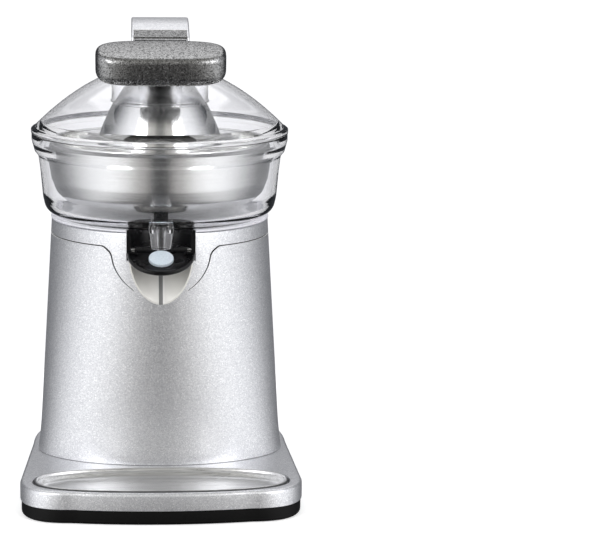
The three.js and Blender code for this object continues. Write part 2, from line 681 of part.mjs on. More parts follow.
function addGrip() {
  const grip = new THREE.Group();
  grip.position.set(0, GRIP.y, GRIP.z);
  grip.rotation.x = THREE.MathUtils.degToRad(GRIP.tilt);
  machine.add(grip);
  const half = GRIP.thickness / 2;
  const body = raised(gripPlan(), -half, half, 4.5);
  const slot = block(-11.5, 11.5, -14, 30, -2.6, 6.4);
  const screwHoles = [-6, 6].map((x) => disc(2.3, -20, 0, x, 0, 12));
  const headHoles = [-6, 6].map((x) => disc(4.4, -20, -7.6, x, 0, 12));
  add("handle_grip", cut(body, slot, ...screwHoles, ...headHoles), softTouch, grip);
  [-6, 6].forEach((x, i) => {
    const screw = join(disc(4, -10.6, -7.9, x, 0, 12), disc(2, -9, -3, x, 0, 12));
    add(`handle_screw_${i + 1}`, screw, brushedSteel, grip);
  });
}

const domeHeight = (r) => DOME_TOP - DOME_CURVE * r ** DOME_POWER;
const lidHeight = (r) => LID_TOP - LID_CURVE * r * r;

function addPressDome() {
  const steps = [7, 20, 32, 42, DOME_RADIUS];
  const outer = steps.map((r) => [r, domeHeight(r)]);
  const scale = (DOME_RADIUS - DOME_WALL) / DOME_RADIUS;
  const inner = steps.map((r) => [r * scale, domeHeight(r) - DOME_WALL]).reverse();
  const rimZ = domeHeight(DOME_RADIUS) - 1;
  const rim = [[DOME_RADIUS, rimZ], [DOME_RADIUS - DOME_WALL, rimZ]];
  inner.shift();
  const shell = turned([[3.3, DOME_TOP], ...outer, ...rim, ...inner, [3.3, DOME_TOP - DOME_WALL]], 28);
  add("press_dome", shell, polishedSteel);
  const stem = join(disc(7, DOME_TOP + GAP, 316, 0, 0, 20), disc(3, 283, 300));
  add("dome_stem", stem, polishedSteel);
  const nut = cut(disc(7, 284, DOME_TOP - DOME_WALL - 1, 0, 0, 6), disc(3.15, 280, 300));
  add("dome_nut", nut, brushedSteel);
  add("dome_seal", turned([[36.5, 265], [38.4, 265], [38.4, 268.2], [35.2, 268.2]], 24), greySilicone);
}

function addLid() {
  const outer = [20, 42, 61, 78.5, 93.1].map((r) => [r, lidHeight(r)]);
  const innerHeight = (r) => lidHeight(r) - LID_WALL;
  const flange = [[97.3, 246.8], [97.3, BOWL_RIM_Z + 0.4], [88.8, BOWL_RIM_Z + 0.4]];
  const inner = [88.8, 74.5, 56, 37].map((r) => [r, innerHeight(r)]);
  const collar = [[37, 268.5], [35, 268.5], [35, innerHeight(35)], [20, innerHeight(20)]];
  add("lid", turned([...outer, ...flange, ...inner, ...collar], 32), clearPlastic);
}

// ---- drip stop ----
function addDripStop() {
  const carrier = cut(
    disc(POCKET_RADIUS - GAP, 160, 177.6, 0, POCKET_Y, 28),
    disc(22.6, 150, 190, 0, POCKET_Y, 28),
    block(-40, 40, -120, -75.4, 150, 190),
  );
  const bridge = block(-20, 20, -64, -57.5, 160, 163);
  const pinAxis = [TONGUE_PIVOT.y, TONGUE_PIVOT.z];
  const pinHole = crossRod(1.7, -23.9, 23.9, ...pinAxis, 12);
  add("drip_stop_carrier", cut(join(carrier, bridge), pinHole), blackPlastic);
  add("drip_stop_pin", crossRod(1.5, -23.6, 23.6, ...pinAxis, 12), polishedSteel);

  // Drawn level, with the pivot at the origin; the group tips it open.
  const tongue = new THREE.Group();
  tongue.position.set(0, TONGUE_PIVOT.y, TONGUE_PIVOT.z);
  tongue.rotation.x = THREE.MathUtils.degToRad(TONGUE_OPEN);
  machine.add(tongue);
  const plan = new THREE.Shape();
  plan.absarc(0, -TONGUE_STRAIGHT, TONGUE_RADIUS, Math.PI, 2 * Math.PI, false);
  plan.lineTo(19.5, -TONGUE_STRAIGHT);
  plan.lineTo(19.5, 0);
  plan.lineTo(-19.5, 0);
  plan.lineTo(-19.5, -TONGUE_STRAIGHT);
  const plate = raised(plan, -3.4, 1.2, 0);
  const dish = disc(TONGUE_RADIUS - 1.8, -0.6, 5, 0, -TONGUE_STRAIGHT, 32);
  const padSeat = disc(PAD_RADIUS + GAP, -2, 5, 0, NOZZLE_Y - TONGUE_PIVOT.y, 20);
  const knuckle = crossRod(2.9, -19.5, 19.5, 0, 0, 16);
  const bore = crossRod(1.62, -30, 30, 0, 0, 12);
  const openDish = common(dish, block(-40, 40, -40, -4.5, -5, 10));
  add("drip_stop_tongue", cut(join(cut(plate, openDish, padSeat), knuckle), bore), blackPlastic, tongue);
  const pad = disc(PAD_RADIUS, -1.7, 3.2, 0, NOZZLE_Y - TONGUE_PIVOT.y, 20);
  add("drip_stop_pad", pad, greySilicone, tongue);
}

addBase();
addDripTray();
addHousing();
addHingeColumn();
addBowl();
addStrainer();
addReamerDrive();
addIdler();
addMotor();
addGearbox();
addElectrics();
addArm();
addGrip();
addPressDome();
addLid();
addDripStop();

const juicer = new THREE.Group();
juicer.add(machine);
machine.position.set(0, -(BASE_FRONT_Y + COLUMN_REAR_Y) / 2, BASE_TOP);
export default juicer;
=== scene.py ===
"""Citrus press juicer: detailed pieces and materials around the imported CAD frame."""

import json
import math

import bmesh
import bpy
from mathutils import Matrix, Vector


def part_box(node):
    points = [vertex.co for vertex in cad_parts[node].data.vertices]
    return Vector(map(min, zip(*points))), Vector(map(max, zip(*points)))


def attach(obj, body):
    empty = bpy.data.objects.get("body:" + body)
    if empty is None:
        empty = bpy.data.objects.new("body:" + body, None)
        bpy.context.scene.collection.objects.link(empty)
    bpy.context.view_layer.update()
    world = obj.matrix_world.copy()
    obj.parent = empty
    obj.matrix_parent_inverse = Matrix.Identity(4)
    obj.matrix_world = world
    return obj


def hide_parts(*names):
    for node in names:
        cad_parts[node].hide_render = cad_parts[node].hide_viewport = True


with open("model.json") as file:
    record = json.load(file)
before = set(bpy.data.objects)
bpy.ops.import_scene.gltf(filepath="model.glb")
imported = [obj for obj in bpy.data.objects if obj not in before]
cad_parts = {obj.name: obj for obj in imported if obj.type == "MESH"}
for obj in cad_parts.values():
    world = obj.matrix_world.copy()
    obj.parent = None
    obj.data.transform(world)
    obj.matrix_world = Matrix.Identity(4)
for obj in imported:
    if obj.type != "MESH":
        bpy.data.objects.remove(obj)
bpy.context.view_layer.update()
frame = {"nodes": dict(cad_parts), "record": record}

# ---- places, from the frame ----
# Pieces are drawn in millimetres in the machine's own frame: the bowl's axis is x = y = 0, and
# z = 0 is the top face of the base.
MM = 0.001
lid_low, lid_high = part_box("lid")
ORIGIN = Vector((0, (lid_low.y + lid_high.y) / 2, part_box("lower_housing")[0].z - 0.3 * MM))
TO_ROW = Matrix.Translation(ORIGIN) @ Matrix.Scale(MM, 4)


def machine_box(node):
    """A CAD node's lowest and highest corners, in the machine's frame, in millimetres."""
    low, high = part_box(node)
    return (low - ORIGIN) / MM, (high - ORIGIN) / MM


# ---- driving dimensions, the same as the CAD part's ----
BASE_FRONT = machine_box("base_cover")[0].y
BASE_REAR = machine_box("base_cover")[1].y
BASE_HALF_WIDTH = machine_box("base_cover")[1].x
BASE_REAR_HALF_WIDTH = 98
BASE_CORNER = 38
BASE_BOW = 6
COVER_LOW = -13.2
PAN_LOW = -22
SKIRT_LOW = -23.7
BODY_TOP = 178.6
BODY_TOP_RADIUS = 82.1
BODY_TAPER = 10
BODY_FLARE = 1.2
BODY_FRONT = 57
BODY_REAR = 100
WALL = 2.2
PARTING_Z = 167
PARTING_GAP = 0.9
POCKET_Y = -80
POCKET_RADIUS = 25.7
POCKET_BOTTOM = 157.5
NICHE_RADIUS = 22.7
NICHE_TIP = 126
NICHE_SLANT = 0.666
NOZZLE_Y = -88
NOZZLE_LOW = 168.6
PIVOT = Vector((0, -72.2, 165))
TONGUE_RADIUS = 25
TONGUE_STRAIGHT = 5.0
TONGUE_OPEN = math.radians(25)
TRAY_Y = -109
TRAY_HALF_WIDTH = 93.5
TRAY_HALF_DEPTH = 34
BOWL_LOW = 180.6
BOWL_RIM = 242.8
HINGE = Vector((0, 114, 262))
EAR_RADIUS = 12
GRIP_CENTRE = Vector((0, -62, 300.8))
GRIP_TILT = math.radians(18)
GRIP_HALF_WIDTH = 47.7
GRIP_HALF_DEPTH = 20
GRIP_HALF_HEIGHT = 12
ARM_HALF_WIDTH = 21.5
ARM_WALL = 2.5
DOME_RADIUS = 50
DOME_BORE = 3.3
LID_RADIUS = 93.3
LID_WALL = 2.4
COLLAR_INNER = 35.2
COLLAR_OUTER = 36.4
CONE_LOW = 210
CONE_HEIGHT = 62
CONE_RADIUS = 28
CONE_RIBS = 8

# Places of a colour Mix node's sockets.
MIX_FACTOR, MIX_A, MIX_B, MIX_RESULT = 0, 6, 7, 2


# ---- mesh helpers ----
def finish_mesh(name, bm, material, sharp_angle=35):
    """Makes an object of a bmesh drawn in machine millimetres."""
    bmesh.ops.remove_doubles(bm, verts=bm.verts, dist=1e-4)
    bmesh.ops.dissolve_degenerate(bm, edges=bm.edges, dist=1e-5)
    bmesh.ops.recalc_face_normals(bm, faces=bm.faces)
    mesh = bpy.data.meshes.new(name)
    bm.to_mesh(mesh)
    bm.free()
    mesh.transform(TO_ROW)
    piece = bpy.data.objects.new(name, mesh)
    bpy.context.scene.collection.objects.link(piece)
    if material:
        mesh.materials.append(material)
    soften(piece, sharp_angle)
    return piece


def cutter(bm):
    """A shape that is only used up in a boolean."""
    return finish_mesh("cutter", bm, None)


def soften(piece, sharp_angle):
    """Smooth shading that keeps the edges sharper than the angle."""
    piece.data.shade_smooth()
    piece.data.set_sharp_from_angle(angle=math.radians(sharp_angle))


def skin(rings, closed_profile=False):
    """A bmesh through rings of points, each with as many points as the next, capped unless closed."""
    bm = bmesh.new()
    rows = [[bm.verts.new(point) for point in points] for points in rings]
    count = len(rows[0])
    pairs = list(zip(rows, rows[1:]))
    if closed_profile:
        pairs.append((rows[-1], rows[0]))
    for low, high in pairs:
        for i in range(count):
            nxt = (i + 1) % count
            bm.faces.new((low[i], low[nxt], high[nxt], high[i]))
    if not closed_profile:
        for row in (rows[0], rows[-1]):
            middle = bm.verts.new(sum((v.co for v in row), Vector()) / count)
            for i in range(count):
                bm.faces.new((middle, row[i], row[(i + 1) % count]))
    return bm


def filleted(corners, radius, steps=5, closed=True):
    """A 2-D outline with its corners rounded; a corner may carry its own radius as a third number."""
    points = []
    count = len(corners)
    for i, corner in enumerate(corners):
        here = Vector(corner[:2])
        if not closed and i in (0, count - 1):
            points.append(here)
            continue
        before = Vector(corners[i - 1][:2]) - here
        after = Vector(corners[(i + 1) % count][:2]) - here
        own = corner[2] if len(corner) > 2 else radius
        if own <= 0:
            points.append(here)
            continue
        angle = before.angle(after)
        reach = min(own / math.tan(angle / 2), 0.48 * before.length, 0.48 * after.length)
        start = here + before.normalized() * reach
        end = here + after.normalized() * reach
        for step in range(steps + 1):
            t = step / steps
            points.append(start * (1 - t) ** 2 + here * 2 * t * (1 - t) + end * t * t)
    return [(p.x, p.y) for p in points]


def turn_angles(count):
    """The angles of evenly spaced steps round a full turn."""
    return [2 * math.pi * i / count for i in range(count)]


def circle(radius, z, centre=(0, 0), segments=128):
    """A level ring of points."""
    x, y = centre
    return [(x + radius * math.cos(a), y + radius * math.sin(a), z) for a in turn_angles(segments)]


def turned(profile, segments=160, centre=(0, 0)):
    """A closed (radius, z) profile turned about the vertical line through centre."""
    return skin([circle(radius, z, centre, segments) for radius, z in profile], closed_profile=True)


def curve(start, control, end, steps):
    """The points after start on a curve that heads for control before it bends to end."""
    points = []
    for i in range(1, steps + 1):
        t = i / steps
        points.append(tuple(
            a * (1 - t) ** 2 + b * 2 * t * (1 - t) + c * t * t for a, b, c in zip(start, control, end)
        ))
    return points


def rounding(steps):
    """How far a quarter-round edge still stands in, and has risen, at each step along it."""
    angles = [i / steps * math.pi / 2 for i in range(steps + 1)]
    return [(1 - math.sin(angle), 1 - math.cos(angle)) for angle in angles]


def signed_power(value, exponent):
    """The power of a value's size, with the value's sign."""
    return math.copysign(abs(value) ** exponent, value)


def extruded_side(outline, half_width, bevel, name, material):
    """A (y, z) outline spread across X, with its long edges rounded."""
    bm = bmesh.new()
    sides = []
    for x in (-half_width, half_width):
        sides.append([bm.verts.new((x, y, z)) for y, z in outline])
    bm.faces.new(sides[0])
    bm.faces.new(sides[1])
    for i in range(len(outline)):
        nxt = (i + 1) % len(outline)
        bm.faces.new((sides[0][i], sides[0][nxt], sides[1][nxt], sides[1][i]))
    bmesh.ops.recalc_face_normals(bm, faces=bm.faces)
    if bevel:
        rims = [e for e in bm.edges if e.calc_face_angle(0) > math.radians(50)]
        bmesh.ops.bevel(bm, geom=rims, offset=bevel, segments=4, profile=0.5, affect="EDGES")
    return finish_mesh(name, bm, material)


def block(x0, x1, y0, y1, z0, z1, edge=0.0):
    """A block between two corners, with its edges rounded where edge is given."""
    bm = bmesh.new()
    bmesh.ops.create_cube(bm, size=1)
    bm.transform(
        Matrix.Translation(((x0 + x1) / 2, (y0 + y1) / 2, (z0 + z1) / 2))
        @ Matrix.Diagonal((x1 - x0, y1 - y0, z1 - z0, 1))
    )
    if edge:
        bmesh.ops.bevel(bm, geom=bm.edges[:], offset=edge, segments=4, profile=0.5, affect="EDGES")
    return cutter(bm)


def round_rod(radius, low, high, centre=(0, 0), segments=64):
    """An upright cylinder."""
    return cutter(turned([(0, low), (radius, low), (radius, high), (0, high)], segments, centre))


def cross_rod(radius, x0, x1, y, z, edge=0.0, name="cutter", material=None):
    """A cylinder along X with rounded ends."""
    corners = [(0, x0, 0), (radius, x0, edge), (radius, x1, edge), (0, x1, 0)]
    bm = turned(filleted(corners, edge, 4), 48)
    bm.transform(Matrix.Translation((0, y, z)) @ Matrix.Rotation(math.pi / 2, 4, "Y"))
    return finish_mesh(name, bm, material)


def boolean(piece, operation, *tools):
    """Applies one boolean for each tool, and uses the tools up."""
    for tool in tools:
        modifier = piece.modifiers.new("boolean", "BOOLEAN")
        modifier.operation = operation
        modifier.solver = "MANIFOLD"
        modifier.object = tool
        graph = bpy.context.evaluated_depsgraph_get()
        mesh = bpy.data.meshes.new_from_object(piece.evaluated_get(graph))
        piece.modifiers.clear()
        piece.data = mesh
        bpy.data.objects.remove(tool)
    return piece


def clone(piece, name):
    copy = piece.copy()
    copy.data = piece.data.copy()
    copy.name = name
    bpy.context.scene.collection.objects.link(copy)
    return copy


def moved(piece, turn):
    """Moves a finished piece by a matrix that is given in machine millimetres."""
    piece.data.transform(TO_ROW @ turn @ TO_ROW.inverted())
    return piece


def paint(piece, material):
    """Gives the piece one material in place of any it had."""
    piece.data.materials.clear()
    piece.data.materials.append(material)


def stand_in(piece, body, slot, *nodes):
    """piece rides on the body and stands for the CAD nodes, which it hides; slot is not used."""
    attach(piece, body)
    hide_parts(*nodes)
    return piece


# ---- material helpers ----
class Nodes:
    """A node tree, with short calls for the nodes that repeat."""

    def __init__(self, tree):
        self.tree = tree

    def node(self, kind, **values):
        made = self.tree.nodes.new(kind)
        for key, value in values.items():
            if key in made.inputs:
                made.inputs[key].default_value = value
            else:
                setattr(made, key, value)
        return made

    def link(self, output, target, socket):
        self.tree.links.new(output, target.inputs[socket])

    def ramp(self, value, stops):
        """A colour ramp; a stop's colour may be one number for a grey."""
        ramp = self.node("ShaderNodeValToRGB")
        elements = ramp.color_ramp.elements
        while len(elements) < len(stops):
            elements.new(0.5)
        for element, (position, color) in zip(elements, stops):
            element.position = position
            element.color = (*color, 1) if isinstance(color, tuple) else (color, color, color, 1)
        self.link(value, ramp, "Fac")
        return ramp.outputs["Color"]

    def span(self, value, low, high, from_low=0.0, from_high=1.0, interpolation="LINEAR"):
        """The value's stretch from_low to from_high laid out as low to high."""
        made = self.node("ShaderNodeMapRange", interpolation_type=interpolation)
        made.inputs["From Min"].default_value = from_low
        made.inputs["From Max"].default_value = from_high
        made.inputs["To Min"].default_value = low
        made.inputs["To Max"].default_value = high
        self.link(value, made, "Value")
        return made.outputs["Result"]

    def ease(self, value, start, end):
        """0 before start, 1 past end and a smooth way between."""
        return self.span(value, 0.0, 1.0, start, end, "SMOOTHSTEP")

    def arithmetic(self, operation, *terms):
        """A Math node on outputs and plain numbers."""
        made = self.node("ShaderNodeMath", operation=operation)
        for place, term in enumerate(terms):
            if isinstance(term, float):
                made.inputs[place].default_value = term
            else:
                self.link(term, made, place)
        return made.outputs[0]

    def mix(self, factor, first, second):
        """From first to second by factor; either may be an output or a plain colour."""
        made = self.node("ShaderNodeMix", data_type="RGBA")
        self.link(factor, made, MIX_FACTOR)
        for place, color in ((MIX_A, first), (MIX_B, second)):
            if isinstance(color, tuple):
                made.inputs[place].default_value = (*color, 1)
            else:
                self.link(color, made, place)
        return made.outputs[MIX_RESULT]


class Shader(Nodes):
    """A node material with one Principled BSDF, patterned in object coordinates."""

    def __init__(self, name, color, roughness, metallic=0.0):
        self.material = bpy.data.materials.new(name)
        self.material.use_nodes = True
        super().__init__(self.material.node_tree)
        self.bsdf = self.tree.nodes["Principled BSDF"]
        self.set("Base Color", (*color, 1))
        self.set("Roughness", roughness)
        self.set("Metallic", metallic)
        self.coordinates = self.node("ShaderNodeTexCoord").outputs["Object"]

    def set(self, socket, value):
        self.bsdf.inputs[socket].default_value = value

    def drive(self, socket, output):
        self.link(output, self.bsdf, socket)

    def stretched(self, scale):
        """Object coordinates multiplied by scale along X, Y and Z."""
        mapping = self.node("ShaderNodeMapping")
        mapping.inputs["Scale"].default_value = scale
        self.link(self.coordinates, mapping, "Vector")
        return mapping.outputs["Vector"]

    def noise(self, scale, detail=2.0, roughness=0.5, vector=None):
        texture = self.node("ShaderNodeTexNoise", Scale=scale, Detail=detail, Roughness=roughness)
        self.link(vector or self.coordinates, texture, "Vector")
        return texture.outputs["Fac"]

    def grains(self, scale):
        """Fine cells, with three values drawn for each: its Red, Green and Blue."""
        texture = self.node("ShaderNodeTexVoronoi", Scale=scale)
        self.link(self.coordinates, texture, "Vector")
        split = self.node("ShaderNodeSeparateColor")
        self.link(texture.outputs["Color"], split, "Color")
        return split.outputs

    def bump(self, height, strength, distance):
        made = self.node("ShaderNodeBump", Strength=strength, Distance=distance)
        self.link(height, made, "Height")
        self.drive("Normal", made.outputs["Normal"])


def silver_paint():
    """Metallic lacquer: fine flakes, each a little lighter or darker than its neighbours."""
    s = Shader("silver_paint", (0.6, 0.605, 0.63), 0.42, 0.8)
    flakes = s.grains(1700.0)
    s.drive("Base Color", s.ramp(flakes["Red"], [
        (0.0, (0.55, 0.555, 0.58)), (0.5, (0.66, 0.665, 0.685)),
        (0.9, (0.76, 0.765, 0.78)), (1.0, (0.92, 0.92, 0.94)),
    ]))
    s.drive("Roughness", s.span(flakes["Green"], 0.3, 0.46))
    s.bump(s.noise(1400.0, 2.0), 0.25, 0.0003)
    s.set("Coat Weight", 0.25)
    s.set("Coat Roughness", 0.25)
    return s.material


def soft_touch():
    """Black coat full of fine sparkling grains, pale where it catches the light."""
    s = Shader("soft_touch", (0.02, 0.02, 0.02), 0.42)
    s.set("Specular IOR Level", 1.0)
    s.set("IOR", 2.45)
    grains = s.grains(1150.0)
    s.drive("Base Color", s.ramp(grains["Red"], [(0.0, 0.001), (0.75, 0.003), (0.92, 0.02), (1.0, 0.1)]))
    s.drive("Specular Tint", s.ramp(grains["Green"], [(0.0, 0.25), (0.5, 0.8), (1.0, 1.0)]))
    s.drive("Roughness", s.span(grains["Blue"], 0.18, 0.3))
    s.bump(s.noise(1300.0, 2.0, 0.6), 0.4, 0.0004)
    return s.material


def black_plastic():
    """Fine spark-textured black moulding."""
    s = Shader("black_plastic", (0.003, 0.003, 0.0035), 0.45)
    s.set("Specular IOR Level", 0.12)
    grain = s.noise(2200.0, 2.0, 0.6)
    s.drive("Base Color", s.ramp(grain, [(0.3, 0.001), (0.7, 0.005)]))
    s.drive("Roughness", s.span(grain, 0.38, 0.55, 0.3, 0.7))
    s.bump(grain, 0.15, 0.0002)
    return s.material


def smooth_black():
    """Moulded black with a soft shine, for the drip stop."""
    s = Shader("smooth_black", (0.003, 0.003, 0.0035), 0.3)
    s.set("Specular IOR Level", 0.3)
    s.drive("Roughness", s.span(s.noise(90.0, 3.0), 0.22, 0.38, 0.3, 0.7))
    s.bump(s.noise(700.0, 2.0), 0.05, 0.0002)
    return s.material


def clear_plastic():
    """Clear polished copolyester."""
    s = Shader("clear_plastic", (0.95, 0.951, 0.966), 0.02)
    s.set("Transmission Weight", 1.0)
    s.set("IOR", 1.46)
    s.bump(s.noise(18.0, 2.0), 0.02, 0.001)
    return s.material


def brushed_steel(name="brushed_steel", base=0.74, roughness=0.2, lines=0.05, spread=0.7):
    """Stainless steel brushed round its axis: fine level lines."""
    s = Shader(name, (base, base, base * 0.985), roughness, 1.0)
    strokes = s.noise(1.0, 3.0, 0.6, s.stretched((18, 18, 2600)))
    clouds = s.noise(14.0, 2.0)
    mixed = s.arithmetic("MULTIPLY_ADD", strokes, 0.7, s.span(clouds, 0.0, 0.3))
    low, high = base * 0.93, base * 1.06
    s.drive("Base Color", s.ramp(mixed, [(0.3, (low, low, low * 0.98)), (0.7, (high, high, high * 0.98))]))
    s.drive("Roughness", s.span(strokes, roughness - 0.03, roughness + 0.04, 0.3, 0.7))
    s.bump(strokes, lines, 0.0002)
    tangent = s.node("ShaderNodeTangent", direction_type="RADIAL", axis="Z")
    s.drive("Tangent", tangent.outputs["Tangent"])
    s.set("Anisotropic", spread)
    s.set("Anisotropic Rotation", 0.25)
    return s.material


def liner_steel():
    """Satin sheet of the niche, warmer and duller than the strainer, with a painted reflection at its
    middle: a dark stripe with a bright painted highlight line beside it.
    """
    s = Shader("liner_steel", (0.8, 0.79, 0.76), 0.36, 0.4)
    split = s.node("ShaderNodeSeparateXYZ")
    s.link(s.coordinates, split, "Vector")
    across = s.span(split.outputs["X"], 0.0, 1.0, -0.01, 0.01)
    # Painted reflection: a dark stripe down the niche's middle, with a bright painted highlight line just
    # beside it.
    painted_reflection_stripe = s.ramp(across, [
        (0.0, (0.78, 0.765, 0.73)), (0.41, (0.86, 0.85, 0.82)), (0.43, (0.2, 0.2, 0.2)),
        (0.56, (0.26, 0.26, 0.26)), (0.58, (0.98, 0.97, 0.95)), (0.64, (0.84, 0.83, 0.8)),
        (1.0, (0.8, 0.79, 0.75)),
    ])
    s.drive("Base Color", painted_reflection_stripe)
    clouds = s.noise(60.0, 3.0, 0.6, s.stretched((1, 1, 0.12)))
    s.drive("Roughness", s.span(clouds, 0.3, 0.42, 0.3, 0.7))
    s.bump(s.noise(900.0, 2.0, 0.5, s.stretched((1, 1, 0.1))), 0.03, 0.0002)
    return s.material


def tray_steel():
    """Stainless sheet brushed from side to side."""
    s = Shader("tray_steel", (0.6, 0.6, 0.6), 0.32, 1.0)
    strokes = s.noise(1.0, 3.0, 0.6, s.stretched((14, 1500, 1500)))
    s.drive("Base Color", s.ramp(strokes, [(0.3, 0.5), (0.7, 0.74)]))
    s.drive("Roughness", s.span(strokes, 0.26, 0.4, 0.3, 0.7))
    s.bump(strokes, 0.06, 0.0002)
    return s.material


def silicone():
    """Speckled blue-grey seal pad."""
    s = Shader("pad_silicone", (0.42, 0.47, 0.52), 0.5)
    speckle = s.noise(900.0, 3.0, 0.7)
    s.drive("Base Color", s.ramp(speckle, [(0.3, (0.4, 0.45, 0.5)), (0.7, (0.56, 0.61, 0.66))]))
    s.bump(s.noise(1200.0, 2.0), 0.06, 0.0002)
    s.set("Subsurface Weight", 0.05)
    return s.material


def gasket_silicone():
    """Translucent grey ring under the bowl."""
    s = Shader("gasket_silicone", (0.62, 0.62, 0.66), 0.4)
    cloud = s.noise(300.0, 3.0)
    s.drive("Base Color", s.ramp(cloud, [(0.3, (0.58, 0.58, 0.62)), (0.7, (0.68, 0.68, 0.72))]))
    s.bump(s.noise(900.0, 2.0), 0.06, 0.0002)
    return s.material


def rubber():
    """Matt black feet and gland."""
    s = Shader("black_rubber", (0.018, 0.018, 0.018), 0.8)
    s.drive("Base Color", s.ramp(s.noise(600.0, 3.0), [(0.3, 0.01), (0.7, 0.03)]))
    s.bump(s.noise(1500.0, 2.0), 0.2, 0.0003)
    return s.material


def machined(name, color, roughness):
    """Turned metal for inner pieces."""
    s = Shader(name, color, roughness, 1.0)
    rings = s.noise(1.0, 2.0, 0.5, s.stretched((60, 60, 3000)))
    s.drive("Roughness", s.span(rings, roughness - 0.08, roughness + 0.1, 0.3, 0.7))
    dark = tuple(c * 0.8 for c in color)
    s.drive("Base Color", s.ramp(rings, [(0.3, dark), (0.7, color)]))
    s.bump(rings, 0.08, 0.0002)
    return s.material


def moulded(name, color, roughness):
    """Plain moulded plastic for inner pieces."""
    s = Shader(name, color, roughness)
    grain = s.noise(500.0, 3.0)
    dark = tuple(c * 0.85 for c in color)
    s.drive("Base Color", s.ramp(grain, [(0.3, dark), (0.7, color)]))
    s.drive("Roughness", s.span(grain, roughness - 0.05, roughness + 0.08, 0.3, 0.7))
    s.bump(grain, 0.1, 0.0002)
    return s.material


SILVER = silver_paint()
SOFT = soft_touch()
BLACK = black_plastic()
GLOSS_BLACK = smooth_black()
CLEAR = clear_plastic()
STEEL = brushed_steel()
DOME_STEEL = brushed_steel("polished_steel", 0.8, 0.15, 0.0, 0.6)
LINER_STEEL = liner_steel()
TRAY_STEEL = tray_steel()
SILICONE = silicone()
GASKET = gasket_silicone()
RUBBER = rubber()
SHAFT_STEEL = machined("shaft_steel", (0.62, 0.62, 0.62), 0.25)
BRASS = machined("brass", (0.72, 0.55, 0.28), 0.3)
COPPER = machined("copper_winding", (0.5, 0.24, 0.12), 0.4)
ACETAL = moulded("acetal", (0.8, 0.8, 0.76), 0.4)
BOARD = moulded("board_green", (0.03, 0.16, 0.08), 0.5)


# ---- base ----
def base_outline(inset):
    """The base's plan: bowed front, round corners, sides closing in, half-oval rear."""
    front = BASE_FRONT + inset
    side = BASE_HALF_WIDTH - inset
    rear_side = BASE_REAR_HALF_WIDTH - inset
    corner = BASE_CORNER - inset
    bow = BASE_BOW
    rear_start = 10
    bow_end = (side - corner, front + bow)
    right = [(0, front)] + curve((0, front), ((side - corner) / 2, front), bow_end, 8)
    right += curve(bow_end, (side, front + bow), (side, front + bow + corner), 16)
    right.append(((side + rear_side) / 2, (front + bow + corner + rear_start) / 2))
    right.append((rear_side, rear_start))
    depth = BASE_REAR - inset - rear_start
    for i in range(1, 33):
        angle = i / 32 * math.pi / 2
        across = math.cos(angle) ** (2 / 2.4)
        back = math.sin(angle) ** (2 / 2.4)
        right.append((rear_side * across, rear_start + depth * back))
    left = [(-x, y) for x, y in reversed(right[1:-1])]
    return right + left


def slab(outline, low, high, low_edge, high_edge):
    """A plate with its lower and upper edges rounded."""
    levels = [(low_edge * inset, low + low_edge * rise) for inset, rise in rounding(5)]
    levels += [(high_edge * rise, high - high_edge * inset) for inset, rise in rounding(5)]
    return skin([[(x, y, z) for x, y in outline(inset)] for inset, z in levels])


def oval(inset, z):
    """The drip tray's outline, fuller than an ellipse."""
    half_width, half_depth = TRAY_HALF_WIDTH - inset, TRAY_HALF_DEPTH - inset
    fullness = 0.8
    return [
        (
            half_width * signed_power(math.cos(angle), fullness),
            TRAY_Y + half_depth * signed_power(math.sin(angle), fullness), z,
        )
        for angle in turn_angles(160)
    ]


def build_base():
    """The silver slab with the tray's recess, the black pan with its skirt, and the tray."""
    top = finish_mesh("base_slab", slab(base_outline, COVER_LOW, 0, 0.4, 2.6), SILVER)
    tray_recess = [oval(-0.5, -6.3), oval(-0.5, -1.0), oval(-1.0, 0), oval(-1.0, 4)]
    boolean(top, "DIFFERENCE", cutter(skin(tray_recess)))
    soften(top, 40)
    stand_in(top, "machine", "silver_paint", "base_cover")

    pan_shape = slab(lambda inset: base_outline(inset + 0.9), SKIRT_LOW, COVER_LOW - 0.3, 2.2, 0.5)
    pan = finish_mesh("base_underpan", pan_shape, BLACK)
    under_recess = slab(lambda inset: base_outline(inset + 7), SKIRT_LOW - 4, PAN_LOW, 0.5, 0.5)
    boolean(pan, "DIFFERENCE", cutter(under_recess))
    soften(pan, 35)
    stand_in(pan, "machine", "black_plastic", "base_pan")

    profile = [
        (1.3, -6.0), (1.3, 0.1), (1.1, 0.6), (1.4, 0.9), (2.4, 0.9), (3.0, 0.4), (3.2, -0.8), (3.6, -1.3),
        (5.0, -1.4), (5.6, -1.9), (6.6, -3.4), (8.2, -4.5), (10.4, -4.9), (15, -5.0),
    ]
    dish = finish_mesh("tray_dish", skin([oval(inset, z) for inset, z in profile]), TRAY_STEEL, 50)
    stand_in(dish, "drip_tray_body", "brushed_steel", "drip_tray")


def middle(low, high):
    """The middle of a box in plan."""
    return (low.x + high.x) / 2, (low.y + high.y) / 2


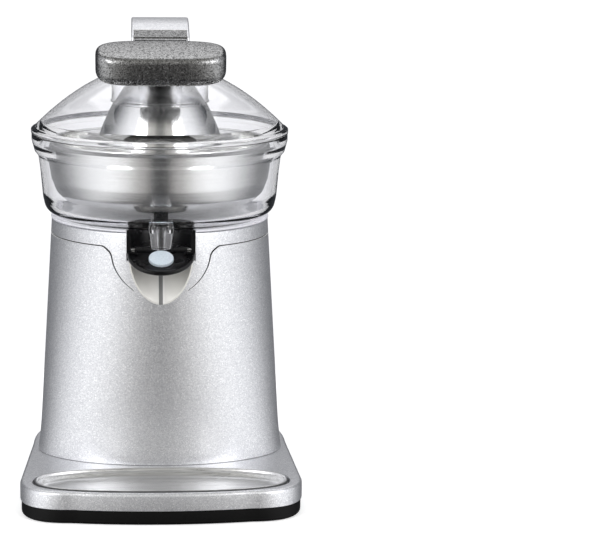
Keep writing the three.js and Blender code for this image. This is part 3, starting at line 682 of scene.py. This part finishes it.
def build_feet_and_screws():
    """Four rubber feet, each held by a cross-head screw."""
    for i in range(1, 5):
        low, high = machine_box(f"foot_{i}")
        centre = middle(low, high)
        corners = [
            (0, low.z + 0.5, 0), (3, low.z + 0.5), (3.4, low.z), (8, low.z), (9, low.z + 0.8),
            (9, high.z), (0, high.z, 0),
        ]
        foot = finish_mesh(f"rubber_foot_{i}", turned(filleted(corners, 0.3, 3), 48, centre), RUBBER)
        stand_in(foot, "machine", "rubber", f"foot_{i}")
        low, high = machine_box(f"base_screw_{i}")
        centre = middle(low, high)
        corners = [
            (0, low.z, 0), (3.6, low.z), (3.6, low.z + 2.3), (2, low.z + 2.5), (2, high.z), (0, high.z, 0),
        ]
        screw = finish_mesh(f"pan_screw_{i}", turned(filleted(corners, 0.3, 3), 32, centre), SHAFT_STEEL)
        x, y = centre
        for wide, deep in ((2.2, 0.5), (0.5, 2.2)):
            arm = block(x - wide, x + wide, y - deep, y + deep, low.z - 1, low.z + 1.2)
            boolean(screw, "DIFFERENCE", arm)
        stand_in(screw, "machine", "brushed_steel", f"base_screw_{i}")


# ---- housing ----
def housing_ring(z, inset=0.0):
    """The housing's outline at a height: a half oval in front and a longer one behind."""
    rise = max(0.0, z) / BODY_TOP
    flare = BODY_FLARE * max(0.0, 1 - max(0.0, z) / 30) ** 2
    half = BODY_TOP_RADIUS + BODY_TAPER * (1 - rise) + flare - inset
    centre = -10 * (1 - rise)
    front = BODY_FRONT + (BODY_TOP_RADIUS - BODY_FRONT) * rise + flare - inset
    rear = BODY_REAR - centre + flare - inset
    ring = []
    for angle in turn_angles(180):
        depth = front if math.sin(angle) < 0 else rear
        ring.append((half * math.cos(angle), centre + depth * math.sin(angle), z))
    return ring


def housing_skin(inset, low, high, crown=0.0):
    """The housing's closed form between two heights, with its upper edge rounded by crown."""
    levels = [(low, inset)]
    levels += [(z, inset) for z in (3, 6, 9, 13, 18, 24, 30, 60, 90, 120, 150) if z > low]
    if crown:
        levels += [(high - crown * drop, inset + crown * step) for drop, step in rounding(5)]
    else:
        levels.append((high, inset))
    return skin([housing_ring(z, d) for z, d in levels])


def upper_region(clearance):
    """A solid over the collar and the bib that runs down round the niche."""
    drop = PARTING_Z + clearance
    right = [
        (130, drop, 0), (43, drop, 5), (37.4, drop - 4.6, 8), (35.2, 152, 30),
        (28.8, 141.8, 40), (20.5, 135),
    ]
    edge = filleted(right, 12, 10, closed=False)
    outline = [(x, z) for x, z in edge] + [(-x, z) for x, z in reversed(edge)]
    outline += [(-130, 190), (130, 190)]
    bm = bmesh.new()
    front = [bm.verts.new((x - math.copysign(clearance, x), -130, z)) for x, z in outline]
    back = [bm.verts.new((x - math.copysign(clearance, x), -45, z)) for x, z in outline]
    bm.faces.new(front)
    bm.faces.new(back)
    for i in range(len(outline)):
        nxt = (i + 1) % len(outline)
        bm.faces.new((front[i], front[nxt], back[nxt], back[i]))
    return boolean(cutter(bm), "UNION", block(-130, 130, -46, 140, drop, 190))


def niche_column(radius, top):
    """The slanting column that hollows the niche under the spout."""
    return cutter(skin([
        circle(radius, z, (0, POCKET_Y - (POCKET_BOTTOM - z) * NICHE_SLANT)) for z in (NICHE_TIP - 12, top)
    ]))


def pocket_cutter():
    """The round pocket of the drip stop, open to the front."""
    pocket = round_rod(POCKET_RADIUS, POCKET_BOTTOM, 200, (0, POCKET_Y), 128)
    mouth = block(-POCKET_RADIUS, POCKET_RADIUS, -110, POCKET_Y, POCKET_BOTTOM, 200)
    return boolean(pocket, "UNION", mouth)


def build_housing():
    """The lower and the upper housing, cut from one shell along the parting line."""
    shell = finish_mesh("housing_lower", housing_skin(0, 0.3, BODY_TOP, 1.6), SILVER)
    inner = cutter(skin([housing_ring(z, WALL) for z in (-3, 30, 90, BODY_TOP - 2.8)]))
    niche = niche_column(NICHE_RADIUS + 1.3, POCKET_BOTTOM + 1)
    boolean(shell, "DIFFERENCE", inner, pocket_cutter(), niche)
    upper = clone(shell, "housing_upper")
    boolean(shell, "DIFFERENCE", upper_region(0), gland_cutter())
    soften(shell, 30)
    stand_in(shell, "machine", "silver_paint", "lower_housing")
    boolean(upper, "INTERSECT", upper_region(PARTING_GAP))
    boss = turned([(10, 168), (13, 168), (13, BODY_TOP - 2), (10, BODY_TOP - 2)], 64)
    boolean(upper, "UNION", cutter(boss))
    boolean(upper, "DIFFERENCE", round_rod(10, 150, 200))
    soften(upper, 30)
    stand_in(upper, "machine", "silver_paint", "upper_housing")


def build_painted_parting_shade():
    """A dark strip behind the gap between the two housings: painted shade, so that the gap shows dark."""
    # Painted shade: a black sheet that darkens the parting gap.
    strip = finish_mesh("painted_parting_shade", housing_skin(0.9, 90, BODY_TOP - 3), GLOSS_BLACK)
    hollow = cutter(skin([housing_ring(z, 2.0) for z in (60, 90, BODY_TOP)]))
    niche = niche_column(NICHE_RADIUS + 1.5, POCKET_BOTTOM + 1)
    boolean(strip, "DIFFERENCE", hollow, pocket_cutter(), niche, upper_region(1.6))
    boolean(strip, "INTERSECT", upper_region(-0.7))
    soften(strip, 30)
    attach(strip, "machine")


def build_niche_liner():
    """The steel sheet that lines the niche and shows its edge round the opening."""
    liner = niche_column(NICHE_RADIUS + 1.1, POCKET_BOTTOM - 0.3)
    liner.name = "niche_steel"
    boolean(liner, "DIFFERENCE", niche_column(NICHE_RADIUS, POCKET_BOTTOM + 5))
    boolean(liner, "INTERSECT", cutter(skin([housing_ring(z, -0.38) for z in (1, 90, BODY_TOP)])))
    paint(liner, LINER_STEEL)
    soften(liner, 30)
    stand_in(liner, "machine", "brushed_steel", "niche_liner")


def build_bowl_gasket():
    """The grey ring that the bowl sits on."""
    low, high = BODY_TOP + 0.3, BOWL_LOW - 0.3
    corners = [(76.6, low), (82.7, low), (82.7, high), (76.6, high)]
    gasket = finish_mesh("bowl_gasket", turned(filleted(corners, 0.5, 4)), GASKET)
    boolean(gasket, "DIFFERENCE", pocket_cutter())
    soften(gasket, 30)
    stand_in(gasket, "machine", "grey_silicone", "bowl_seat_ring")


def gland_cutter():
    turn = Matrix.Translation((0, BODY_REAR, 20)) @ Matrix.Rotation(-math.pi / 2, 4, "X")
    return moved(round_rod(6, -15, 15), turn)


def build_gland():
    """The rubber bush where a cord would leave the rear wall."""
    corners = [(3.6, -10), (5.6, -10), (5.6, 4.4), (9, 4.4), (8.6, 6), (7.4, 7), (7.2, 9), (3.6, 9)]
    bm = turned(filleted(corners, 0.5, 4), 48)
    bm.transform(Matrix.Translation((0, 97.5, 20)) @ Matrix.Rotation(-math.pi / 2, 4, "X"))
    stand_in(finish_mesh("gland_bush", bm, RUBBER), "machine", "rubber", "cord_gland")


def build_column():
    """The hinge column at the rear, with its fork for the lever's knuckle."""
    outline = [(96.6, 179), (96.6, 219)] + curve((96.6, 219), (102, 226), (102, 234), 6)
    for i in range(25):
        angle = math.pi - i / 24 * math.pi
        outline.append((HINGE.y + EAR_RADIUS * math.cos(angle), HINGE.z + EAR_RADIUS * math.sin(angle)))
    rear = HINGE.y + EAR_RADIUS
    outline += curve((rear, HINGE.z), (rear, 236), (122, 205), 12)
    outline += curve((122, 205), (115, 150), (98.4, 44), 12)
    outline += [(92, 44), (92, 179)]
    piece = extruded_side(outline, 22, 2.0, "rear_column", SILVER)
    body = cutter(skin([housing_ring(z, -0.3) for z in (0, 30, 90, BODY_TOP + 0.3)]))
    boolean(
        piece, "DIFFERENCE", body, block(-12, 12, 90, 140, HINGE.z - 13, 290),
        cross_rod(4.12, -30, 30, HINGE.y, HINGE.z),
    )
    soften(piece, 35)
    stand_in(piece, "machine", "silver_paint", "hinge_column")
    pin = cross_rod(4, -23, 23, HINGE.y, HINGE.z, 0.3, name="lever_pin", material=SHAFT_STEEL)
    for start in (22.3, -24.3):
        boolean(pin, "UNION", cross_rod(7, start, start + 2, HINGE.y, HINGE.z, 0.8))
    soften(pin, 30)
    stand_in(pin, "machine", "polished_steel", "hinge_pin")


# ---- bowl, strainer, reamer ----
def build_bowl():
    """The clear bowl with its duct and nozzle as one piece."""
    corners = [
        (10, BOWL_LOW), (78.4, BOWL_LOW, 6), (86.6, 186, 10), (88.6, 195, 20), (90.2, 213, 40),
        (91.9, 226.5, 4), (94.6, 229.6, 3), (96.9, 238, 4), (96.9, BOWL_RIM, 0.8), (93.9, BOWL_RIM, 0.6),
        (93.3, 236, 4), (89.6, 229, 4), (87.6, 213, 30), (86, 197, 20), (83.3, 188, 8), (75.5, 184.2, 8),
        (13, 183.4, 1.5), (13, 206, 0.8), (10, 206, 0.5),
    ]
    bowl = finish_mesh("clear_bowl", turned(filleted(corners, 0.6, 6), 192), CLEAR)
    duct = block(-9.2, 9.2, NOZZLE_Y - 9.2, -76, BOWL_LOW + 0.4, 186.6, 1.6)
    corners = [(0, NOZZLE_LOW, 0), (8.2, NOZZLE_LOW, 1.6), (10.2, 184, 0), (0, 184, 0)]
    nozzle = cutter(turned(filleted(corners, 0, 6), 96, (0, NOZZLE_Y)))
    boolean(bowl, "UNION", duct, nozzle)
    hollow = block(-7.2, 7.2, NOZZLE_Y - 7.2, -68, 183.4, 185.6, 0.8)
    bore = cutter(turned([(0, 160), (5.8, 160), (8.6, 186), (0, 186)], 96, (0, NOZZLE_Y)))
    boolean(bowl, "DIFFERENCE", hollow, bore)
    soften(bowl, 30)
    bowl.visible_shadow = False
    stand_in(bowl, "machine", "clear_plastic", "juice_bowl")


def build_duct_shade_block():
    """A small dark block between the bowl's floor and the spout duct: painted shade for the duct's dark
    opening.
    """
    # Painted shade: a black block with three shallow grooves, where the duct's opening shows dark.
    shade_block = block(-5.2, 5.2, -78.4, -76.6, 185.2, 193.6, 0.5)
    for level in (187, 189, 191):
        boolean(shade_block, "DIFFERENCE", block(-4, 4, -82, -77.9, level, level + 0.9, 0.2))
    shade_block.name = "duct_shade_block"
    paint(shade_block, GLOSS_BLACK)
    soften(shade_block, 35)
    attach(shade_block, "machine")


def build_strainer():
    """The steel basket in the bowl, with two rings of slots round the reamer."""
    corners = [
        (17.2, 187.5), (59, 187.5, 6), (69.6, 191, 8), (78.4, 199, 12), (82.2, 209, 12), (85.7, 235, 2),
        (87.8, 237.4, 0.6), (87.6, 238.3, 0.4), (84.5, 237.6, 2), (81, 209.2, 12), (77.4, 200, 12),
        (69, 192.3, 8), (59, 188.8, 6), (17.2, 188.8),
    ]
    strainer = finish_mesh("steel_strainer", turned(filleted(corners, 0.3, 6), 192), STEEL)
    for inner, outer, count, half_width in ((24, 36, 24, 0.8), (39, 56, 36, 0.9)):
        slots = [
            moved(block(inner, outer, -half_width, half_width, 180, 192.5), Matrix.Rotation(angle, 4, "Z"))
            for angle in turn_angles(count)
        ]
        boolean(strainer, "DIFFERENCE", joined(slots))
    soften(strainer, 30)
    strainer.visible_shadow = False
    stand_in(strainer, "machine", "brushed_steel", "strainer")


def joined(objects):
    """One object of several that don't touch."""
    bm = bmesh.new()
    for item in objects:
        bm.from_mesh(item.data)
        bpy.data.objects.remove(item)
    mesh = bpy.data.meshes.new("joined")
    bm.to_mesh(mesh)
    bm.free()
    piece = bpy.data.objects.new("joined", mesh)
    bpy.context.scene.collection.objects.link(piece)
    return piece


def cone_ring(z):
    """The ribbed cone's outline at a height; the ribs fade out at its foot and its tip."""
    share = (z - CONE_LOW) / CONE_HEIGHT
    radius = CONE_RADIUS * (1 - share ** 1.9) ** 0.62 if share < 1 else 0.4
    depth = 0.13 * min(1, share * 6) * min(1, (1 - share) * 5)
    points = []
    for angle in turn_angles(160):
        wave = 1 - 2 * abs(math.sin(CONE_RIBS * angle / 2)) ** 0.7
        r = radius * (1 + depth * wave - depth)
        points.append((r * math.cos(angle), r * math.sin(angle), z))
    return points


def build_reamer():
    """The ribbed cone on its skirt and its hollow shank."""
    heights = [CONE_LOW + CONE_HEIGHT * (1 - (1 - i / 40) ** 1.6) for i in range(41)]
    cone = cutter(skin([cone_ring(z) for z in heights]))
    corners = [
        (13.6, 190.5), (16.4, 190.5), (16.4, 206.5, 1), (29.6, 206.8, 1), (30.4, 208.6, 1), (28, 211, 1),
        (5.2, 211, 0), (5.2, 207.5, 0), (13.6, 207.5, 1),
    ]
    reamer = finish_mesh("reamer_cone", turned(filleted(corners, 0.5, 4), 96), BLACK)
    boolean(reamer, "UNION", cone)
    boolean(reamer, "DIFFERENCE", round_rod(5.2, 180, 240, segments=6))
    soften(reamer, 40)
    stand_in(reamer, "reamer_drive", "black_plastic", "reamer")


# ---- lever ----
def arm_form(rise, half_width, bevel=0, name="cutter", material=None):
    """The arm's side view, raised by rise and spread across X."""
    outline = [(-41.2, 303.5), (-41.2, 318.9), (-14, 326.2)]
    outline += curve((-14, 326.2), (2, 329.9), (22, 328.2), 12)
    outline += curve((22, 328.2), (78, 322), (101, 283), 24)
    outline += [(92, 266)] + curve((92, 266), (66, 309), (22, 315), 24) + [(-14, 312)]
    return extruded_side([(y, z + rise) for y, z in outline], half_width, bevel, name, material)


def build_arm():
    """The arm's silver shell, the soft inlay at its front end and its black underside."""
    shell = arm_form(0, ARM_HALF_WIDTH, 1.3, "arm_casting", SILVER)
    boolean(shell, "DIFFERENCE", arm_form(-ARM_WALL, ARM_HALF_WIDTH - ARM_WALL))
    channel = arm_form(2, 30)
    boolean(channel, "INTERSECT", block(-19.8, 19.8, -60, -26, 250, 350))
    boolean(channel, "DIFFERENCE", arm_form(-1.6, 40))
    boolean(shell, "DIFFERENCE", channel)
    soften(shell, 35)
    stand_in(shell, "lever", "silver_paint", "arm_shell")

    inlay = arm_form(-0.25, 30, 0, "arm_pad", SOFT)
    boolean(inlay, "INTERSECT", block(-19.5, 19.5, -41.1, -26.3, 250, 350))
    boolean(inlay, "DIFFERENCE", arm_form(-1.4, 40))
    soften(inlay, 35)
    stand_in(inlay, "lever", "soft_touch", "arm_inlay")

    lining = arm_form(0, 18.7, 0, "arm_lining", BLACK)
    boolean(lining, "DIFFERENCE", arm_form(1.6, 40))
    boolean(lining, "DIFFERENCE", round_rod(8, 300, 320), block(-30, 30, 90, 130, 250, 350))
    soften(lining, 35)
    stand_in(lining, "lever", "black_plastic", "arm_underside")


def grip_outline():
    """A rounded pill in plan: a full superellipse."""
    fullness = 2 / 3.3
    return [
        (
            GRIP_HALF_WIDTH * signed_power(math.cos(angle), fullness),
            GRIP_HALF_DEPTH * signed_power(math.sin(angle), fullness),
        )
        for angle in turn_angles(144)
    ]


def build_grip():
    """The wide grip, rounder below than above, with a slot for the bar and two screw holes."""
    top, top_edge, bottom_edge = GRIP_HALF_HEIGHT, 4.6, 9.0
    levels = [(bottom_edge * inset, -top + bottom_edge * rise) for inset, rise in rounding(8)]
    levels += [(top_edge * rise, top - 0.5 - top_edge * inset) for inset, rise in rounding(8)]
    levels += [(8, top - 0.22), (13, top - 0.05), (17, top)]
    rings = []
    for inset, z in levels:
        across = (GRIP_HALF_WIDTH - inset) / GRIP_HALF_WIDTH
        along = (GRIP_HALF_DEPTH - inset) / GRIP_HALF_DEPTH
        rings.append([(x * across, y * along, z) for x, y in grip_outline()])
    bm = skin(rings)
    bm.transform(grip_frame())
    grip = finish_mesh("grip_cover", bm, SOFT, 60)
    boolean(grip, "DIFFERENCE", moved(block(-11.5, 11.5, -14, 30, -2.6, 6.4), grip_frame()))
    for x in (-6, 6):
        boolean(grip, "DIFFERENCE", moved(round_rod(4.4, -20, -7.6, (x, 0), 32), grip_frame()))
    soften(grip, 50)
    stand_in(grip, "lever", "soft_touch", "handle_grip")


def grip_frame():
    return Matrix.Translation(GRIP_CENTRE) @ Matrix.Rotation(GRIP_TILT, 4, "X")


def dome_height(r):
    """Height of the bell's outside at a radius."""
    return 291 - 0.002979 * r ** 2.54


def lid_height(r):
    """Height of the lid's outside at a radius."""
    return 295.2 - 0.005275 * r * r


def build_dome():
    """The steel bell, the post it hangs from and the seal in the lid's collar."""
    steps = 44
    radii = [DOME_BORE + (DOME_RADIUS - DOME_BORE) * i / steps for i in range(steps + 1)]
    outer = [(r, dome_height(r)) for r in radii]
    foot = outer[-1][1] - 1
    corners = [(DOME_RADIUS, foot + 0.6, 0), (DOME_RADIUS, foot), (48.6, foot), (48.6, foot + 0.6, 0)]
    rim = filleted(corners, 0.5, 4, closed=False)
    inner = [(r * 48.5 / DOME_RADIUS, z - 1.5) for r, z in reversed(outer)]
    dome = finish_mesh("dome_bell", turned(outer + rim + inner, 192), DOME_STEEL)
    stand_in(dome, "lever", "polished_steel", "press_dome")

    corners = [
        (0, 283, 0), (3, 283), (3, 291.3), (9, 291.3), (9, 294, 1), (7, 295, 1), (6.4, 316), (0, 316, 0),
    ]
    post = finish_mesh("dome_post", turned(filleted(corners, 0.4, 4), 64), SHAFT_STEEL)
    stand_in(post, "lever", "polished_steel", "dome_stem")

    corners = [(35.9, 266.6), (37.2, 266.6), (37.2, 268.1), (35.3, 268.1)]
    seal = finish_mesh("collar_seal", turned(filleted(corners, 0.6, 4)), CLEAR)
    seal.visible_shadow = False
    stand_in(seal, "lever", "grey_silicone", "dome_seal")


def build_lid():
    """The clear domed lid, with a flange on the bowl's rim and a collar round the bell's seal."""
    def under(r):
        return lid_height(r) - LID_WALL

    steps = 40
    bore, inner_rim = 20, 88.2
    outer = [bore + (LID_RADIUS - bore) * i / steps for i in range(steps + 1)]
    outer = [(r, lid_height(r)) for r in outer]
    flange = filleted([
        (LID_RADIUS, lid_height(LID_RADIUS), 0), (94.5, 247.4, 1), (96.4, 247.0, 0.6), (97.3, 246.2),
        (97.3, 243.3), (88.8, 243.3), (88.8, under(88.8), 0),
    ], 0.7, 4, closed=False)
    inner = [COLLAR_OUTER + (inner_rim - COLLAR_OUTER) * (1 - i / steps) for i in range(steps + 1)]
    inner = [(r, under(r)) for r in inner]
    collar = filleted([
        (COLLAR_OUTER, inner[-1][1], 0), (COLLAR_OUTER, 268.6), (COLLAR_INNER, 268.6),
        (COLLAR_INNER, under(COLLAR_INNER), 0),
    ], 0.6, 4, closed=False)
    top = [(28, under(28)), (bore, under(bore))]
    lid = finish_mesh("clear_lid", turned(outer + flange[1:] + inner + collar[1:] + top, 192), CLEAR)
    lid.visible_shadow = False
    stand_in(lid, "lever", "clear_plastic", "lid")


# ---- drip stop ----
def tongue_frame():
    """The tongue's own place: its pivot at the origin, tipped down as it hangs open."""
    return Matrix.Translation(PIVOT) @ Matrix.Rotation(TONGUE_OPEN, 4, "X")


def tongue_ring(inset, z):
    """The tongue's U: a half circle in front, short straight sides and a narrower root."""
    radius = TONGUE_RADIUS - inset
    root = 19.5 - inset
    angles = [math.pi + math.pi * i / 64 for i in range(65)]
    points = [(radius * math.cos(a), -TONGUE_STRAIGHT + radius * math.sin(a), z) for a in angles]
    back = -inset
    side = -TONGUE_STRAIGHT - min(inset, 1.5)
    points += [(root, side, z), (root, back, z), (-root, back, z), (-root, side, z)]
    return points


def build_drip_stop():
    """The black tongue with its grey pad, and the ring segment that carries it."""
    levels = [
        (3.0, -3.4), (1.4, -3.1), (0.5, -2.4), (0, -1.4), (0, 0.5), (0.25, 1.0), (0.8, 1.2), (1.3, 1.0),
        (1.7, 0.2), (2.6, -0.7), (6.0, -1.2),
    ]
    bm = skin([tongue_ring(inset, z) for inset, z in levels])
    bm.transform(tongue_frame())
    tongue = finish_mesh("tongue_dish", bm, GLOSS_BLACK, 50)
    boolean(tongue, "UNION", moved(cross_rod(2.8, -19.4, 19.4, 0, 0, 0.4), tongue_frame()))
    boolean(tongue, "DIFFERENCE", moved(cross_rod(1.62, -30, 30, 0, 0), tongue_frame()))
    soften(tongue, 40)
    stand_in(tongue, "drip_stop", "black_plastic", "drip_stop_tongue")

    corners = [(0, -1.15, 0), (9.1, -1.15), (9.1, 1.4, 1.2), (7.6, 1.6, 0.8), (0, 1.7, 0)]
    bm = turned(filleted(corners, 0.3, 4), 96, (0, NOZZLE_Y - PIVOT.y + 4))
    bm.transform(tongue_frame())
    pad = finish_mesh("seal_pad", bm, SILICONE)
    stand_in(pad, "drip_stop", "grey_silicone", "drip_stop_pad")

    profile = filleted([(22.6, 160), (25.4, 160), (25.4, 180.2), (24.2, 180.2), (22.6, 176)], 0.5, 4)
    carrier = finish_mesh("stop_carrier", turned(profile, 160, (0, POCKET_Y)), GLOSS_BLACK)
    boolean(carrier, "DIFFERENCE", block(-40, 40, -120, -75.6, 150, 190))
    boolean(carrier, "UNION", block(-20, 20, -64, -57.5, 160.1, 163, 0.6))
    boolean(carrier, "DIFFERENCE", cross_rod(1.7, -24.2, 24.2, PIVOT.y, PIVOT.z))
    soften(carrier, 35)
    stand_in(carrier, "machine", "black_plastic", "drip_stop_carrier")


# ---- CAD nodes that stay, with their finishes ----
INNER_FINISHES = {
    "polished_steel": SHAFT_STEEL, "brushed_steel": SHAFT_STEEL, "white_plastic": ACETAL, "brass": BRASS,
    "copper": COPPER, "black_plastic": BLACK, "rubber": RUBBER, "board": BOARD, "grey_silicone": SILICONE,
    "silver_paint": SILVER, "soft_touch": SOFT, "clear_plastic": CLEAR,
}


def finish_cad_nodes():
    """Gives each CAD node that stays visible its finish and a small rounding on its edges."""
    slots = {part["node"]: part["material_slot"] for part in frame["record"]["subparts"]}
    for name, node in frame["nodes"].items():
        if node.hide_render:
            continue
        paint(node, INNER_FINISHES[slots[name]])
        edge = node.modifiers.new("edges", "BEVEL")
        edge.width = 0.15 * MM
        edge.segments = 2
        edge.limit_method = "ANGLE"
        edge.angle_limit = math.radians(40)


# ---- stage ----
MIDDLE = (0, 0, 0.2)
SIDE_BOX_POWER = 12
TOP_BOX_POWER = 4
FLOOR_GLOW = 0.42
BACKDROP_WHITE = (1.05, 1.05, 1.06)
# How much of the backdrop's white a ray turned back inside a clear wall still picks up.
WALL_GLOW = 0.85
# Limits on a ray's count of bounces, each halfway between whole numbers.
BEFORE_FIRST, BEFORE_SECOND, BEFORE_FOURTH = 0.5, 1.5, 3.5
CAMERA_PLACE = (-0.0207, -1.8741, 0.5063)
CAMERA_YAW, CAMERA_PITCH, CAMERA_ROLL = (math.radians(a) for a in (-3.895, 90 - 10.48, 0.59))
CAMERA_LENS = 149.8


def area_light(name, place, size, power):
    """A rectangular light that faces the middle of the object."""
    data = bpy.data.lights.new(name, "AREA")
    data.shape = "RECTANGLE"
    data.size, data.size_y = size
    data.energy = power
    lamp = bpy.data.objects.new(name, data)
    lamp.location = place
    lamp.rotation_euler = (Vector(MIDDLE) - Vector(place)).to_track_quat("-Z", "Y").to_euler()
    bpy.context.scene.collection.objects.link(lamp)


def build_stage():
    """A pale round floor that reflections don't show, and three soft boxes."""
    bpy.ops.mesh.primitive_circle_add(
        vertices=96, radius=0.47, fill_type="NGON", location=(0, -0.08, 0))
    floor = bpy.context.object
    floor.name = "floor"
    pale = Shader("pale_floor", (0.9, 0.9, 0.9), 0.6)
    pale.drive("Base Color", pale.ramp(pale.noise(30.0, 3.0), [(0.3, 0.88), (0.7, 0.92)]))
    pale.set("Emission Color", (1, 1, 1, 1))
    pale.set("Emission Strength", FLOOR_GLOW)
    floor.data.materials.append(pale.material)
    floor.visible_glossy = False
    floor.visible_diffuse = False
    floor.visible_transmission = False

    build_world()
    area_light("left_box", (-1.1, -1.3, 0.8), (0.6, 1.3), SIDE_BOX_POWER)
    area_light("right_box", (1.1, -1.3, 0.8), (0.6, 1.3), SIDE_BOX_POWER)
    area_light("top_box", (0, 0.6, 1.35), (1.3, 0.9), TOP_BOX_POWER)
    bpy.context.scene.view_settings.view_transform = "Standard"


def studio_light(n):
    """The studio by direction: side walls of light with a dark gap between them in front."""
    split = n.node("ShaderNodeSeparateXYZ")
    n.link(n.node("ShaderNodeTexCoord").outputs["Generated"], split, "Vector")
    right, back, up = (split.outputs[axis] for axis in "XYZ")
    aside = n.arithmetic("ABSOLUTE", right)
    low_front = n.ramp(aside, [
        (0.0, (0, 0, 0)), (0.1, (0.01, 0.01, 0.012)), (0.2, (0.3, 0.29, 0.28)), (0.38, (0.6, 0.59, 0.57)),
        (0.56, (1.0, 1.0, 1.0)), (0.76, (1.36, 1.37, 1.38)), (1.0, (1.36, 1.37, 1.4)),
    ])
    high_front = n.ramp(aside, [
        (0.0, (0.26, 0.26, 0.25)), (0.1, (0.3, 0.3, 0.28)), (0.18, (0.6, 0.59, 0.55)),
        (0.36, (0.72, 0.7, 0.66)), (0.46, (1.3, 1.31, 1.34)), (1.0, (1.3, 1.31, 1.36)),
    ])
    front = n.mix(n.ease(up, -0.2, 0.55), low_front, high_front)
    round_about = n.mix(n.ease(back, -0.45, 0.75), front, (0.07, 0.075, 0.085))
    overhead = n.ease(n.arithmetic("ADD", back, up), 1.22, 1.38)  # high and a little behind
    lit = n.mix(overhead, round_about, (0.8, 0.8, 0.82))
    return n.mix(n.ease(up, -0.66, -0.86), lit, (0.03, 0.03, 0.035))


def sees_backdrop(n):
    """1 for the camera's own rays and those that go straight on through clear plastic."""
    path = n.node("ShaderNodeLightPath").outputs
    unreflected = n.arithmetic("LESS_THAN", path["Glossy Depth"], BEFORE_FIRST)
    turned_twice = n.arithmetic("GREATER_THAN", path["Glossy Depth"], BEFORE_SECOND)
    few_walls = n.arithmetic("LESS_THAN", path["Transmission Depth"], BEFORE_FOURTH)
    within_wall = n.arithmetic("MULTIPLY", n.arithmetic("MAXIMUM", few_walls, turned_twice), WALL_GLOW)
    clear_view = n.arithmetic("MAXIMUM", unreflected, within_wall)
    through = n.arithmetic("MULTIPLY", path["Is Transmission Ray"], clear_view)
    return n.arithmetic("MAXIMUM", path["Is Camera Ray"], through)


def build_world():
    """A white backdrop for the camera, and the studio for whatever reflects."""
    world = bpy.data.worlds.new("studio")
    world.use_nodes = True
    bpy.context.scene.world = world
    n = Nodes(world.node_tree)
    shown = n.mix(sees_backdrop(n), studio_light(n), BACKDROP_WHITE)
    n.link(shown, world.node_tree.nodes["Background"], "Color")


def build_camera():
    """A long lens a little left of the middle, looking down by about ten degrees."""
    data = bpy.data.cameras.new("camera")
    data.lens = CAMERA_LENS
    data.sensor_width = 36
    data.clip_end = 30
    camera = bpy.data.objects.new("camera", data)
    turn = (
        Matrix.Rotation(CAMERA_YAW, 4, "Z") @ Matrix.Rotation(CAMERA_PITCH, 4, "X")
        @ Matrix.Rotation(CAMERA_ROLL, 4, "Z")
    )
    camera.matrix_world = Matrix.Translation(CAMERA_PLACE) @ turn
    bpy.context.scene.collection.objects.link(camera)
    bpy.context.scene.camera = camera


build_base()
build_feet_and_screws()
build_housing()
build_painted_parting_shade()
build_niche_liner()
build_bowl_gasket()
build_gland()
build_column()
build_bowl()
build_duct_shade_block()
build_strainer()
build_reamer()
build_arm()
build_grip()
build_dome()
build_lid()
build_drip_stop()
finish_cad_nodes()
build_stage()
build_camera()
